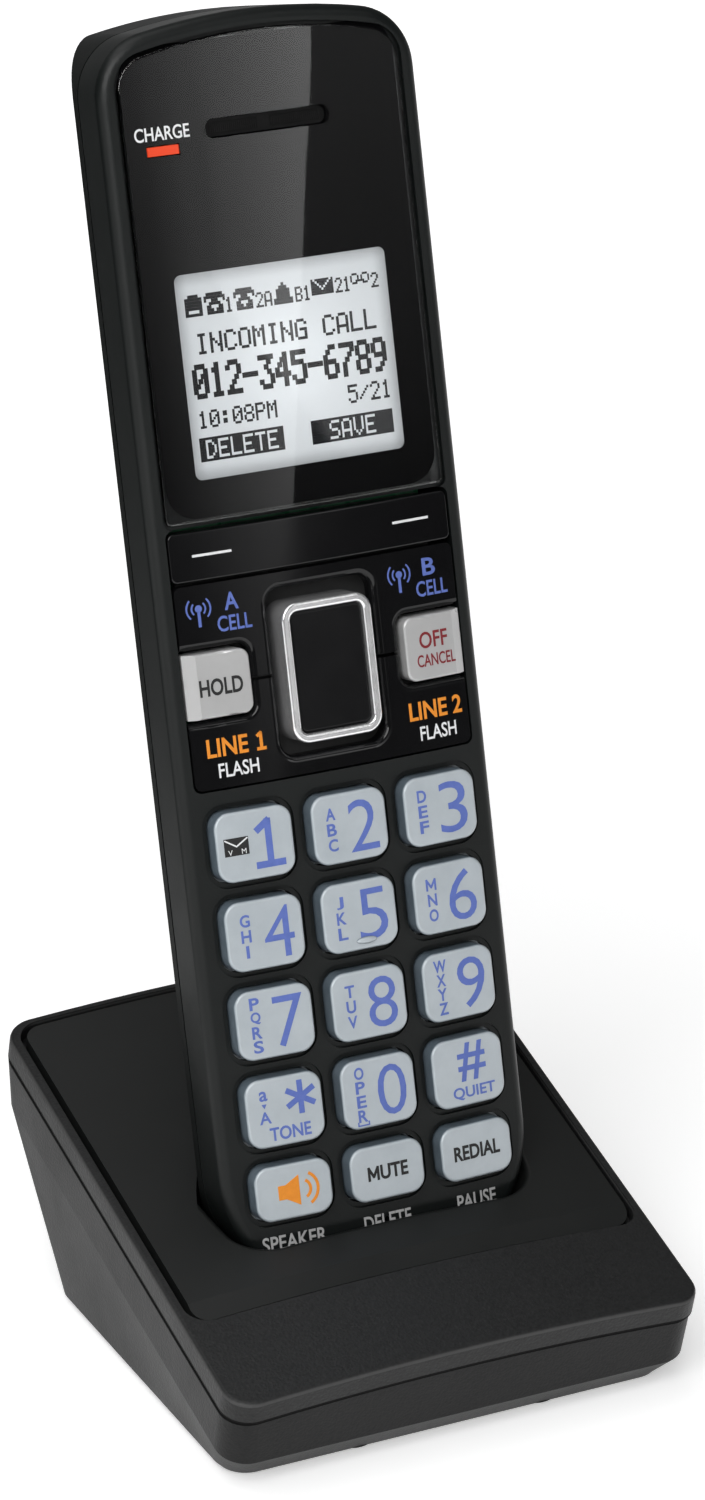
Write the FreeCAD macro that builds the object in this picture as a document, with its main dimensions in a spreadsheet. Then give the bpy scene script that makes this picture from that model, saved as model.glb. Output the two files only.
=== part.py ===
import FreeCAD, Part
import Sketcher
import math
import os
import re

# Cordless telephone handset standing in its charging cradle.
#
# World frame: millimetres, +Z up, +X to the user's right, +Y away from the user.
# The origin is on the table, under the middle of the whole object's box.
#
# Two working frames are used, and each finished piece is placed from one of them:
#   handset frame: x right, y from the face (0) to the back, z from the bottom end up;
#   deck frame:    x right, y up the cradle's sloping top, z square to that top.

SIZES = [
    # handset case
    ("handset_width", 46.6, "width of the handset"),
    ("handset_length", 175.8, "length of the handset along its own axis"),
    ("handset_depth", 25.0, "face to back of the handset"),
    ("case_wall", 1.7, "side wall of both half cases"),
    ("face_thick", 2.6, "thickness of the front case's face"),
    ("back_thick", 2.0, "thickness of the rear case's back wall"),
    ("seam_depth", 8.9, "from the face to the seam between the half cases"),
    ("seam_gap", 0.35, "height of the shadow gap along a seam"),
    ("seam_sink", 0.35, "depth of the shadow gap along a seam"),
    ("top_rise", 3.2, "rise of the arch along the top end"),
    ("top_corner", 8.6, "corner radius at the top end"),
    ("low_corner", 18.0, "corner radius at the bottom end"),
    ("back_round", 7.0, "rounding of the back at the two ends"),
    ("back_radius", 25.9, "radius of the round back"),
    ("crown_radius", 200.0, "radius of the face's shallow crown"),
    ("face_edge", 1.6, "rounding round the edge of the face"),
    ("play", 0.3, "clearance round a loose piece in its opening"),
    ("thin_gap", 0.1, "gap between pieces that lie on each other"),
    ("window_corner", 1.2, "corner radius of the openings for the lens and the control panel"),
    ("small_corner", 0.8, "corner radius of the soft key bar and the lens's lower end"),
    ("hidden_corner", 1.0, "corner radius of flat pieces inside"),
    # lens, display and what lies behind them
    ("lens_margin", 2.7, "case beside the lens"),
    ("lens_over_bar", 0.55, "front case between the soft key bar and the lens's gap"),
    ("lens_under_top", 2.65, "case above the lens"),
    ("lens_thick", 1.9, "thickness of the lens at its middle"),
    ("lens_corner", 4.8, "corner radius of the lens"),
    ("lens_rise", 2.8, "rise of the arch along the top of the lens"),
    ("lens_gap", 0.5, "gap round the lens"),
    ("lens_edge", 0.3, "rounding of the lens's edge"),
    ("display_width", 33.6, "width of the display panel"),
    ("display_up", 4.45, "lower edge of the lens to the display"),
    ("display_down", 17.66, "earpiece slot's middle to the display"),
    ("display_thick", 1.7, "thickness of the display panel"),
    ("holder_rim", 1.0, "display holder beyond the display"),
    ("slot_length", 18.3, "length of the earpiece slot"),
    ("slot_height", 2.6, "height of the earpiece slot"),
    ("port_in", 0.6, "case's port inside the earpiece slot"),
    ("mesh_thick", 0.5, "thickness of the earpiece mesh"),
    ("slot_down", 12.49, "top of the lens to the earpiece slot"),
    ("light_width", 4.3, "width of the charge light"),
    ("light_height", 1.2, "height of the charge light"),
    ("light_in", 5.35, "side of the lens to the charge light's middle"),
    ("light_down", 14.59, "top of the lens to the charge light"),
    # control panel under the lens
    ("panel_margin", 2.5, "case beside the rockers and the soft key bar"),
    ("panel_gap", 0.5, "gap between the pieces of the control panel"),
    ("bar_height", 6.7, "height of the soft key bar"),
    ("bar_edge", 0.25, "rounding of the soft key bar's edge"),
    ("rocker_over_keys", 8.0, "top row of numbers to the lower rocker"),
    ("lower_rocker", 14.1, "height of the lower rocker, with half the gap"),
    ("upper_rocker", 13.8, "height of the upper rocker, with half the gap"),
    ("rocker_thick", 2.4, "depth of rockers and bar behind the face"),
    ("rocker_corner", 1.0, "corner radius of the rockers"),
    ("rocker_dip", 0.9, "rounding of the rockers towards the ring and the hold and off keys"),
    ("well_width", 15.6, "width of the well round the navigation ring"),
    ("well_corner", 2.2, "corner radius of the well"),
    ("well_over_low", 2.6, "lower rocker's edge to the well"),
    ("well_under_high", 2.2, "well to the upper rocker's edge"),
    ("ring_width", 13.35, "width of the navigation ring"),
    ("ring_height", 19.3, "height of the navigation ring"),
    ("ring_band", 1.2, "width of the ring's band"),
    ("ring_down", 0.1, "navigation ring's middle under the line between the rockers"),
    ("ring_corner", 2.4, "corner radius of the ring"),
    ("ring_proud", 1.8, "ring above the face"),
    ("ring_edge", 0.35, "rounding of the ring's edge"),
    ("pad_proud", 1.1, "pad above the face"),
    ("pad_edge", 0.4, "rounding of the pad's edge"),
    ("nav_float", 0.45, "room between the navigation key and the keypad rubber"),
    ("wing_width", 9.2, "width of the hold and off keys"),
    ("wing_height", 8.9, "height of the hold and off keys"),
    ("wing_up", 0.15, "hold and off keys over the line between the rockers"),
    ("wing_proud", 1.0, "hold and off keys above the face"),
    ("wing_corner", 1.4, "corner radius of the hold and off keys"),
    ("cutout_corner", 1.6, "corner radius of the rockers' cutouts for the hold and off keys"),
    ("wing_edge", 0.35, "rounding of the edges of the hold and off keys"),
    ("wing_bevel", 1.6, "width of the bevel at their outer side"),
    # number keys and function keys
    ("key_width", 11.2, "width of a key"),
    ("key_height", 9.7, "height of a number key"),
    ("key_corner", 2.2, "corner radius of a key"),
    ("key_proud", 1.8, "keys above the face"),
    ("key_pitch", 14.0, "spacing of the columns"),
    ("row_pitch", 12.4, "spacing of the rows"),
    ("first_row", 64.6, "height of the top row of numbers"),
    ("function_drop", 11.33, "last number row to the function row"),
    ("function_height", 7.75, "height of a function key"),
    ("key_edge", 0.45, "rounding of a key's top edge"),
    ("key_travel", 0.8, "how far a key goes down"),
    ("flange_out", 0.75, "how far a key's flange stands out"),
    ("flange_thick", 0.6, "thickness of a key's flange"),
    ("moat_out", 1.0, "width of the sunk ring round a key"),
    ("moat_depth", 0.45, "depth of the sunk ring round a key"),
    # inside the handset
    ("rubber_front", 4.6, "front of the keypad rubber, from the face"),
    ("rubber_thick", 1.0, "thickness of the keypad rubber"),
    ("rubber_down", 0.85, "keypad rubber under the lens's gap"),
    ("rubber_up", 1.0, "keypad rubber over the board's lower edge"),
    ("board_front", 6.0, "front of the main board, from the face"),
    ("board_thick", 1.0, "thickness of the main board"),
    ("board_room", 2.6, "room beside the main board"),
    ("board_low", 9.5, "lower edge of the main board"),
    ("board_down", 9.8, "top of the handset to the main board"),
    ("board_corner", 14.0, "lower corner radius of the main board"),
    ("board_top_corner", 6.0, "upper corner radius of the main board"),
    ("antenna_down", 4.0, "upper edge of the board to the antenna's middle"),
    ("antenna_width", 24.0, "width of the antenna"),
    ("antenna_height", 3.0, "height of the antenna"),
    ("antenna_depth", 4.0, "how far the antenna stands off the board"),
    ("earpiece_radius", 9.5, "radius of the earpiece speaker"),
    ("speaker_radius", 11.0, "radius of the loudspeaker"),
    ("speaker_up", 17.0, "battery door to the loudspeaker's middle"),
    ("speaker_back", 20.0, "back of the loudspeaker, from the face"),
    ("speaker_depth", 2.5, "depth of the loudspeaker's frame"),
    ("magnet_radius", 7.0, "radius of the loudspeaker's magnet"),
    ("magnet_depth", 3.0, "depth of the loudspeaker's magnet"),
    ("grille_slots", 5, "number of loudspeaker slots"),
    ("grille_length", 12.0, "length of a loudspeaker slot"),
    ("grille_height", 1.4, "height of a loudspeaker slot"),
    ("grille_pitch", 3.0, "spacing of the loudspeaker slots"),
    ("door_width", 30.0, "width of the battery door"),
    ("door_low", 38.0, "lower edge of the battery door"),
    ("plug_room", 7.5, "battery bay above the cells, for their plug"),
    ("door_thick", 1.15, "thickness of the battery door"),
    ("door_corner", 2.0, "corner radius of the battery door"),
    ("door_ledge", 1.5, "ledge that carries the battery door"),
    ("tray_wall", 1.0, "wall of the battery tray"),
    ("tray_corner", 1.5, "corner radius of the battery tray"),
    ("tray_floor", 11.1, "front of the battery tray, from the face"),
    ("cell_radius", 5.25, "radius of a battery cell"),
    ("cell_length", 44.5, "length of a battery cell"),
    ("cell_gap", 0.3, "gap between the two cells"),
    ("cell_play", 0.15, "clearance between the cells and their tray"),
    ("cell_up", 1.0, "battery bay under the cells"),
    ("nub_length", 1.0, "length of a cell's end cap"),
    ("nub_radius", 1.75, "radius of a cell's end cap"),
    ("plug_width", 7.0, "width of the battery plug"),
    ("plug_height", 4.6, "height of the battery plug"),
    ("plug_depth", 5.0, "depth of the battery plug"),
    ("plug_down", 2.6, "upper end of the battery bay to the plug's middle"),
    ("boss_radius", 2.5, "radius of a screw boss in the front case"),
    ("column_radius", 3.0, "radius of a screw column in the rear case"),
    ("low_boss_across", 9.0, "lower handset screws from the middle line"),
    ("low_boss_height", 5.5, "height of the lower handset screws"),
    ("top_boss_across", 10.5, "upper handset screws from the middle line"),
    ("top_boss_down", 5.8, "top of the handset to the upper screws"),
    ("screw_radius", 0.9, "radius of a screw's shank"),
    ("screw_head", 1.9, "radius of a screw's head"),
    ("head_height", 1.4, "height of a screw's head"),
    ("screw_play", 0.1, "clearance round a screw"),
    ("screw_seat", 3.0, "seat of a handset screw's head behind the seam"),
    ("handset_screw_length", 6.0, "length of a handset screw's shank"),
    ("pad_across", 6.0, "charging contacts from the middle line"),
    ("pad_height", 12.0, "height of the charging contacts on the handset"),
    ("pad_radius", 2.4, "radius of a charging pad on the handset"),
    ("pad_front", 23.3, "front of the charging pads, from the face"),
    ("pin_tip", 24.6, "tip of a contact pin, from the face"),
    ("mic_radius", 2.0, "radius of the microphone"),
    ("mic_height", 8.8, "height of the microphone"),
    ("mic_port", 0.5, "radius of the hole before the microphone"),
    ("clip_notch_low", 121.0, "lower end of the belt clip notch"),
    ("clip_notch_length", 10.0, "length of the belt clip notch"),
    ("clip_notch_depth", 1.4, "belt clip notch, in from the widest side"),
    ("clip_notch_behind", 2.6, "belt clip notch behind the seam"),
    ("clip_notch_wide", 2.2, "width of the belt clip notch, front to back"),
    # where the handset stands
    ("recline", 14.17, "lean of the handset from upright, degrees"),
    ("seat_y", -21.03, "bottom end of the face, in world Y"),
    ("seat_z", 14.0, "bottom end of the face, in world Z"),
    # cradle
    ("deck_slope", 15.64, "slope of the cradle's top, degrees"),
    ("deck_height", 27.43, "height of the top's edge plane over the origin"),
    ("deck_width", 71.4, "width of the cradle's top"),
    ("deck_front", -47.34, "front edge of the top, along the slope"),
    ("deck_back", 35.11, "back edge of the top, along the slope"),
    ("deck_corner", 4.2, "corner radius of the top"),
    ("deck_edge", 0.7, "rounding of the top's edge"),
    ("arch_radius", 394.0, "radius of the top's arch from side to side"),
    ("arch_rise", 1.65, "rise of that arch over the edge plane"),
    ("cover_depth", 3.9, "depth of the cover down to the parting line"),
    ("cover_skin", 2.2, "thickness of the cover's front strip"),
    ("cover_wall", 2.2, "width of the cover's rim under the front strip"),
    ("band_depth", 7.0, "upright band of the base under the parting line"),
    ("band_front_in", 2.07, "front of the band inside the parting line's front"),
    ("band_back_in", 0.03, "back of the band inside the parting line's back"),
    ("band_in", 0.3, "band of the base inside the cradle's sides"),
    ("foot_front_in", 2.85, "front of the underside behind the band's front"),
    ("foot_back_in", 14.3, "back of the underside before the band's back"),
    ("foot_in", 1.8, "underside inside the cradle's sides"),
    ("foot_corner", 4.6, "corner radius of the base's underside"),
    ("base_wall", 1.8, "wall of the base"),
    ("base_floor", 2.2, "floor of the base"),
    ("base_edge", 0.8, "bevel round the base's underside"),
    ("foot_lift", 0.5, "underside above the table, by the rubber feet"),
    ("pad_front_in", 8.15, "front rubber feet behind the underside's front"),
    ("pad_back_in", 6.5, "back rubber feet before the underside's back"),
    ("pad_side_in", 8.4, "rubber feet inside the underside's sides"),
    ("rubber_radius", 3.8, "radius of a rubber foot"),
    ("foot_sink", 0.6, "how deep a rubber foot sits in the base"),
    ("side_rim", 2.3, "cover's rim beside the inner panel"),
    ("strip_depth", 17.65, "depth of the cover's front strip"),
    ("back_rim", 2.1, "cover's rim behind the inner panel"),
    ("insert_corner", 2.6, "corner radius of the inner panel"),
    ("insert_thick", 2.3, "thickness of the inner panel"),
    ("insert_groove", 0.95, "groove round the inner panel"),
    ("insert_ledge", 1.2, "ledge that carries the inner panel"),
    ("bevel_width", 3.0, "width of the inner panel's front bevel"),
    ("bevel_drop", 0.9, "drop of the inner panel's front bevel"),
    ("pocket_wall", 1.8, "wall of the pocket"),
    ("pocket_side", 1.3, "room at each side of the handset in the pocket"),
    ("pocket_corner", 4.0, "rounding of the pocket's front corners"),
    ("pocket_front", 1.1, "room in front of the handset in the pocket"),
    ("pocket_back", 0.4, "room behind the handset in the pocket"),
    ("pocket_below", 0.8, "room under the handset in the pocket"),
    ("pocket_lip", 0.8, "rounding of the pocket's lip"),
    ("pin_radius", 1.2, "radius of a contact pin"),
    ("pin_head", 1.9, "radius of a contact pin's collar"),
    ("pin_length", 4.9, "length of a contact pin"),
    ("pin_travel", 0.8, "how far a contact pin is pushed back"),
    ("collar_thick", 0.6, "thickness of a contact pin's collar"),
    ("board_post_radius", 1.8, "radius of a post that carries the cradle's board"),
    ("board_post_across", 12.5, "those posts from the middle line"),
    ("board_post_height", 10.0, "height of those posts along the handset"),
    ("board_post_root", 1.5, "root of those posts before the handset's back"),
    ("cradle_board_gap", 1.0, "contact pins to the cradle's board"),
    ("cradle_board_thick", 1.2, "thickness of the cradle's board"),
    ("cradle_board_width", 32.0, "width of the cradle's board"),
    ("cradle_board_low", 3.0, "lower edge of the cradle's board"),
    ("cradle_board_high", 20.0, "upper edge of the cradle's board"),
    ("ballast_width", 42.0, "width of the steel ballast plate"),
    ("ballast_front_in", 9.62, "ballast plate behind the underside's front"),
    ("ballast_back_in", 12.53, "ballast plate before the underside's back"),
    ("ballast_thick", 2.0, "thickness of the ballast plate"),
    ("inlet_width", 9.0, "width of the power inlet"),
    ("inlet_height", 8.0, "height of the power inlet"),
    ("inlet_up", 0.4, "power inlet over the base's floor"),
    ("inlet_length", 9.63, "length of the power inlet"),
    ("inlet_out", 1.3, "power inlet behind the underside's back"),
    ("inlet_bore", 1.85, "radius of the power inlet's hole"),
    ("inlet_bore_depth", 8.0, "depth of the power inlet's hole"),
    ("inlet_pin", 0.65, "radius of the power inlet's pin"),
    ("front_screw_across", 14.0, "front cradle screws from the middle line"),
    ("front_screw_in", 3.55, "front cradle screws behind the underside's front"),
    ("back_screw_side", 5.9, "back cradle screws inside the underside's sides"),
    ("back_screw_in", 12.0, "back cradle screws before the underside's back"),
    ("post_height", 6.0, "height of the base's screw posts"),
    ("post_seat", 1.5, "end of a post over its screw's head"),
    ("cradle_screw_length", 12.0, "length of a cradle screw"),
    ("pilot_room", 0.6, "pilot hole beyond a cradle screw's tip"),
]

# Sizes that follow from the ones above, so that what belongs together moves together.
FOLLOWING = [
    ("lens_width", "handset_width - 2 * lens_margin", "width of the lens"),
    ("panel_width", "handset_width - 2 * panel_margin", "width of the rockers and the soft key bar"),
    ("light_across", "lens_width / 2 - light_in", "charge light from the middle line"),
    ("wing_across", "(panel_width - wing_width) / 2", "hold and off keys from the middle line"),
    ("wing_edge_fall", "crown_radius - sqrt(crown_radius ^ 2 - panel_width ^ 2 / 4)",
     "fall of the crown at the hold and off keys' outer edge"),
    ("wing_start_fall", "crown_radius - sqrt(crown_radius ^ 2 - (panel_width / 2 - wing_bevel) ^ 2)",
     "fall of the crown where their bevel starts"),
    ("wing_slope", "atan((wing_edge_fall + wing_proud - wing_start_fall) / wing_bevel) / 1deg",
     "slope of that bevel, degrees"),
    ("board_width", "handset_width - 2 * case_wall - 2 * board_room", "width of the main board"),
    ("rocker_low", "first_row + rocker_over_keys", "lower edge of the lower rocker"),
    ("rocker_split", "rocker_low + lower_rocker", "line between the two rockers"),
    ("rocker_high", "rocker_split + upper_rocker", "upper edge of the upper rocker"),
    ("well_low", "rocker_low + well_over_low", "lower edge of the well"),
    ("well_high", "rocker_high - well_under_high", "upper edge of the well"),
    ("ring_centre", "rocker_split - ring_down", "height of the ring's middle"),
    ("wing_centre", "rocker_split + wing_up", "height of the hold and off keys"),
    ("bar_low", "rocker_high + panel_gap", "lower edge of the soft key bar"),
    ("bar_high", "bar_low + bar_height", "upper edge of the soft key bar"),
    ("lens_low", "bar_high + lens_over_bar + lens_gap", "lower edge of the lens"),
    ("lens_high", "handset_length - lens_under_top", "top of the lens"),
    ("slot_centre", "lens_high - slot_down", "height of the earpiece slot"),
    ("display_height", "slot_centre - display_down - lens_low - display_up",
     "height of the display panel"),
    ("display_centre", "lens_low + display_up + display_height / 2", "height of the display's middle"),
    ("light_centre", "lens_high - light_down", "height of the charge light"),
    ("rubber_high", "lens_low - lens_gap - rubber_down", "upper edge of the keypad rubber"),
    ("rubber_low", "board_low + rubber_up", "lower edge of the keypad rubber"),
    ("board_high", "handset_length - board_down", "upper edge of the main board"),
    ("top_boss_height", "handset_length - top_boss_down", "height of the upper handset screws"),
    ("cell_low", "door_low + door_ledge + cell_up", "lower end of the cells"),
    ("door_high", "cell_low + cell_length + plug_room + door_ledge", "upper edge of the battery door"),
    ("plug_centre", "door_high - door_ledge - plug_down", "height of the battery plug"),
    ("speaker_centre", "door_high + speaker_up", "height of the loudspeaker"),
    ("clip_notch_high", "clip_notch_low + clip_notch_length", "upper end of the belt clip notch"),
    ("parting_front", "deck_front * cos(deck_slope * 1deg) + cover_depth * sin(deck_slope * 1deg)",
     "front of the parting line between cover and base, world Y"),
    ("parting_back", "deck_back * cos(deck_slope * 1deg) + cover_depth * sin(deck_slope * 1deg)",
     "back of the parting line between cover and base, world Y"),
    ("band_width", "deck_width - 2 * band_in", "width of the base where the band ends"),
    ("band_front", "parting_front + band_front_in", "front of the base where the band ends, world Y"),
    ("band_back", "parting_back - band_back_in", "back of the base where the band ends, world Y"),
    ("foot_width", "deck_width - 2 * foot_in", "width of the base's underside"),
    ("foot_front", "band_front + foot_front_in", "front of the base's underside"),
    ("foot_back", "band_back - foot_back_in", "back of the base's underside"),
    ("foot_across", "foot_width / 2 - pad_side_in", "rubber feet from the middle line"),
    ("pad_front_y", "foot_front + pad_front_in", "front rubber feet"),
    ("pad_back_y", "foot_back - pad_back_in", "back rubber feet"),
    ("insert_width", "deck_width - 2 * side_rim", "width of the inner panel"),
    ("insert_front", "deck_front + strip_depth", "front edge of the inner panel, along the slope"),
    ("insert_back", "deck_back - back_rim", "back edge of the inner panel, along the slope"),
    ("ballast_front", "foot_front + ballast_front_in", "front of the ballast plate, world Y"),
    ("ballast_back", "foot_back - ballast_back_in", "back of the ballast plate, world Y"),
    ("inlet_back", "foot_back + inlet_out", "outer end of the power inlet, world Y"),
    ("inlet_front", "inlet_back - inlet_length", "inner end of the power inlet, world Y"),
    ("front_screw_y", "foot_front + front_screw_in", "front cradle screws"),
    ("back_screw_y", "foot_back - back_screw_in", "back cradle screws"),
    ("back_screw_across", "foot_width / 2 - back_screw_side", "back cradle screws from the middle line"),
]

doc = FreeCAD.newDocument("cordless_handset_and_cradle")
sheet = doc.addObject("Spreadsheet::Sheet", "Sizes")
for row, (alias, value, meaning) in enumerate(SIZES + FOLLOWING, start=1):
    sheet.set(f"A{row}", meaning)
    sheet.set(f"B{row}", str(value) if row <= len(SIZES) else "=" + value)
    sheet.setAlias(f"B{row}", alias)
    sheet.recompute()
doc.recompute()

ALIASES = {alias for alias, value, meaning in SIZES + FOLLOWING}
WORD = re.compile(r"[a-z][a-z_]*")
CLEAR = "2"          # how far a cutting tool runs past the face that it cuts
JOIN = "0.5"         # how far two pieces that are fused reach into each other
HAIR = "0.01"        # keeps two faces from lying exactly in each other
SAME = 1e-6          # two places closer than this are one
CLOSE = 1e-4         # a point this near a curved face lies on it
ANY_ANGLE = 10       # gives a rotation its axis, before an expression sets its angle


def in_sheet(text):
    """Turn plain size names in an expression into references to the sheet."""
    return WORD.sub(lambda m: "Sizes." + m[0] if m[0] in ALIASES else m[0], str(text))


def tie(thing, prop, text):
    """Bind a property to an expression of the named sizes."""
    thing.setExpression(prop, in_sheet(text))


reckoner = doc.addObject("App::FeaturePython", "Reckoner")
reckoner.addProperty("App::PropertyFloat", "Result")


def size(text):
    """The present value of an expression, as the sheet gives it."""
    tie(reckoner, "Result", text)
    reckoner.recompute()
    return reckoner.Result


def origin_plane(body, role):
    """One of a body's own origin planes."""
    return next(f for f in body.Origin.OriginFeatures if f.Role == role)


def point_on(x, y):
    """A sketch point, for making its first geometry."""
    return FreeCAD.Vector(x, y, 0)


def outline(sketch, wide, tall, rise=None):
    """A rectangle round the sketch's origin; its upper side may be an arch that rises from its ends."""
    half_w = size(wide) / 2
    half_t = size(tall) / 2
    spring = half_t - (size(rise) if rise else 0)
    corners = [(-half_w, -half_t), (half_w, -half_t), (half_w, spring), (-half_w, spring)]
    points = [point_on(x, y) for x, y in corners]
    sketch.addGeometry(Part.LineSegment(points[0], points[1]))
    sketch.addGeometry(Part.LineSegment(points[1], points[2]))
    if rise:
        sketch.addGeometry(Part.Arc(points[2], point_on(0, half_t), points[3]))
    else:
        sketch.addGeometry(Part.LineSegment(points[2], points[3]))
    sketch.addGeometry(Part.LineSegment(points[3], points[0]))
    link = Sketcher.Constraint
    sketch.addConstraint([
        link("Coincident", 0, 2, 1, 1),
        link("Coincident", 1, 2, 2, 1),
        link("Coincident", 2, 2, 3, 1),
        link("Coincident", 3, 2, 0, 1),
        link("Vertical", 1),
        link("Symmetric", 0, 1, 0, 2, -2),
        link("Symmetric", 1, 2, 3, 1, -2),
    ])
    wide_at = sketch.addConstraint(link("DistanceX", 0, 1, 0, 2, 2 * half_w))
    sketch.renameConstraint(wide_at, "wide")
    tie(sketch, "Constraints.wide", wide)
    low_at = sketch.addConstraint(link("DistanceY", 0, 1, -1, 1, half_t))
    sketch.renameConstraint(low_at, "low")
    tie(sketch, "Constraints.low", f"({tall}) / 2")
    side_at = sketch.addConstraint(link("DistanceY", 1, 1, 1, 2, half_t + spring))
    sketch.renameConstraint(side_at, "side")
    if rise:
        tie(sketch, "Constraints.side", f"({tall}) - ({rise})")
        radius_text = f"(({wide}) * ({wide}) / 4 + ({rise}) * ({rise})) / (2 * ({rise}))"
        radius_at = sketch.addConstraint(link("Radius", 2, size(radius_text)))
        sketch.renameConstraint(radius_at, "arch")
        tie(sketch, "Constraints.arch", radius_text)
    else:
        tie(sketch, "Constraints.side", tall)


def edges_where(feature, test):
    """Names of a feature's edges whose two ends pass a test."""
    found = []
    for number, edge in enumerate(feature.Shape.Edges, start=1):
        ends = [edge.valueAt(edge.FirstParameter), edge.valueAt(edge.LastParameter)]
        if test(*ends):
            found.append(f"Edge{number}")
    return found


def round_off(body, feature, names, radius, name):
    """A fillet feature on named edges."""
    fillet = body.newObject("PartDesign::Fillet", name)
    fillet.Base = (feature, names)
    fillet.Radius = size(radius)
    tie(fillet, "Radius", radius)
    doc.recompute()
    return fillet


def block(name, role, across, along, wide, tall, near, far, corner=None, low_corner=None,
          rise=None, end_round=None, near_round=None):
    """A pad from near to far with rounded corners. role XZ_Plane stands in the handset frame, and
    near and far are then y; role XY_Plane lies in the deck or world frame, and they are z."""
    body = doc.addObject("PartDesign::Body", name)
    sketch = body.newObject("Sketcher::SketchObject", name + "_outline")
    sketch.AttachmentSupport = (origin_plane(body, role), "")
    sketch.MapMode = "FlatFace"
    upright = role == "XZ_Plane"
    tie(sketch, "AttachmentOffset.Base.x", across)
    tie(sketch, "AttachmentOffset.Base.y", along)
    tie(sketch, "AttachmentOffset.Base.z", f"-({near})" if upright else near)
    outline(sketch, wide, tall, rise)
    pad = body.newObject("PartDesign::Pad", name + "_pad")
    pad.Profile = sketch
    pad.Reversed = upright
    tie(pad, "Length", f"({far}) - ({near})")
    doc.recompute()
    last = pad
    axis = 1 if upright else 2
    up = 2 if upright else 1
    middle = size(along)
    straight = [a for a in range(3) if a != axis]

    def runs_through(a, b):
        return all(abs(a[k] - b[k]) < SAME for k in straight)

    if corner and low_corner:
        names = edges_where(last, lambda a, b: runs_through(a, b) and a[up] > middle)
        last = round_off(body, last, names, corner, name + "_corners")
        names = edges_where(last, lambda a, b: runs_through(a, b) and a[up] < middle
                            and abs(abs(a[0] - size(across)) - size(wide) / 2) < SAME)
        last = round_off(body, last, names, low_corner, name + "_low_corners")
    elif corner:
        names = edges_where(last, runs_through)
        last = round_off(body, last, names, corner, name + "_corners")
    for text, radius, label in ((far, end_round, "_round"), (near, near_round, "_near_round")):
        if radius:
            end = size(text)
            names = edges_where(last, lambda a, b: abs(a[axis] - end) < SAME and abs(b[axis] - end) < SAME)
            last = round_off(body, last, names, radius, name + label)
    return body


def panel(name, across, up, wide, tall, front, back, **more):
    """A block in the handset frame, from front to back."""
    return block(name, "XZ_Plane", across, up, wide, tall, front, back, **more)


def slab(name, across, along, wide, tall, low, high, **more):
    """A block in the deck or world frame, from low to high."""
    return block(name, "XY_Plane", across, along, wide, tall, low, high, **more)


def round_end(tall):
    """The corner radius that makes the ends of a slot almost full rounds."""
    return f"({tall}) / 2.2"


def rod(name, radius, length, x, y, z, turn=None):
    """A cylinder from a point, along +Z, or along +Y when turn is "back"."""
    cylinder = doc.addObject("Part::Cylinder", name)
    tie(cylinder, "Radius", radius)
    tie(cylinder, "Height", length)
    if turn == "back":
        cylinder.Placement.Rotation = FreeCAD.Rotation(FreeCAD.Vector(-1, 0, 0), 90)
    for key, text in (("x", x), ("y", y), ("z", z)):
        tie(cylinder, "Placement.Base." + key, text)
    return cylinder


def brick(name, x, y, z, wide, long, high):
    """A plain box from its lowest corner."""
    box = doc.addObject("Part::Box", name)
    for prop, text in (("Length", wide), ("Width", long), ("Height", high),
                       ("Placement.Base.x", x), ("Placement.Base.y", y), ("Placement.Base.z", z)):
        tie(box, prop, text)
    return box


def cut(name, base, tool):
    result = doc.addObject("Part::Cut", name)
    result.Base = base
    result.Tool = tool
    return result


def common(name, base, tool):
    result = doc.addObject("Part::Common", name)
    result.Base = base
    result.Tool = tool
    return result


def fuse(name, things):
    result = doc.addObject("Part::MultiFuse", name)
    result.Shapes = things
    return result


def group(name, things):
    """Separate solids that share one node."""
    result = doc.addObject("Part::Compound", name)
    result.Links = things
    return result


pieces = {}


def place(thing, turn_about, angle, y, z):
    thing.Placement = FreeCAD.Placement(FreeCAD.Vector(0, 0, 0), FreeCAD.Rotation(turn_about, ANY_ANGLE))
    tie(thing, "Placement.Rotation.Angle", angle)
    tie(thing, "Placement.Base.y", y)
    tie(thing, "Placement.Base.z", z)
    return thing


def in_handset(thing):
    """Stand a shape of the handset frame in its reclined place."""
    if thing.TypeId == "Part::Cylinder":
        thing = group(thing.Name + "_held", [thing])
    return place(thing, FreeCAD.Vector(-1, 0, 0), "recline", "seat_y", "seat_z")


def on_deck(thing):
    """Lay a shape of the deck frame on the cradle's sloping top."""
    return place(thing, FreeCAD.Vector(1, 0, 0), "deck_slope", "0", "deck_height")


def keep(name, thing):
    """Name a finished piece. Its Label names its file."""
    thing.Label = name
    pieces[name] = thing
    return thing


def keep_handset(name, thing):
    return keep(name, in_handset(thing))


# The face's crown: a wide upright roller that trims the front of whatever shows in the face.
rollers = {}


def crown(proud):
    """The roller whose surface stands proud of the face by the given expression."""
    if proud not in rollers:
        name = "crown_" + re.sub(r"\W+", "_", proud)
        rollers[proud] = rod(name, "crown_radius", f"handset_length + 4 * {CLEAR}", "0",
                             f"crown_radius - ({proud})", f"-2 * {CLEAR}")
    return rollers[proud]


def crowned(name, thing, proud):
    result = common(name, thing, crown(proud))
    doc.recompute()
    return result


def back_roller(inset):
    """The roller whose surface is the handset's round back, drawn in by the given expression."""
    key = "back:" + inset
    if key not in rollers:
        name = "back_roller_" + re.sub(r"\W+", "_", inset)
        rollers[key] = rod(name, f"back_radius - ({inset})", f"handset_length + 4 * {CLEAR}", "0",
                           "handset_depth - back_radius", f"-2 * {CLEAR}")
    return rollers[key]


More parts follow.
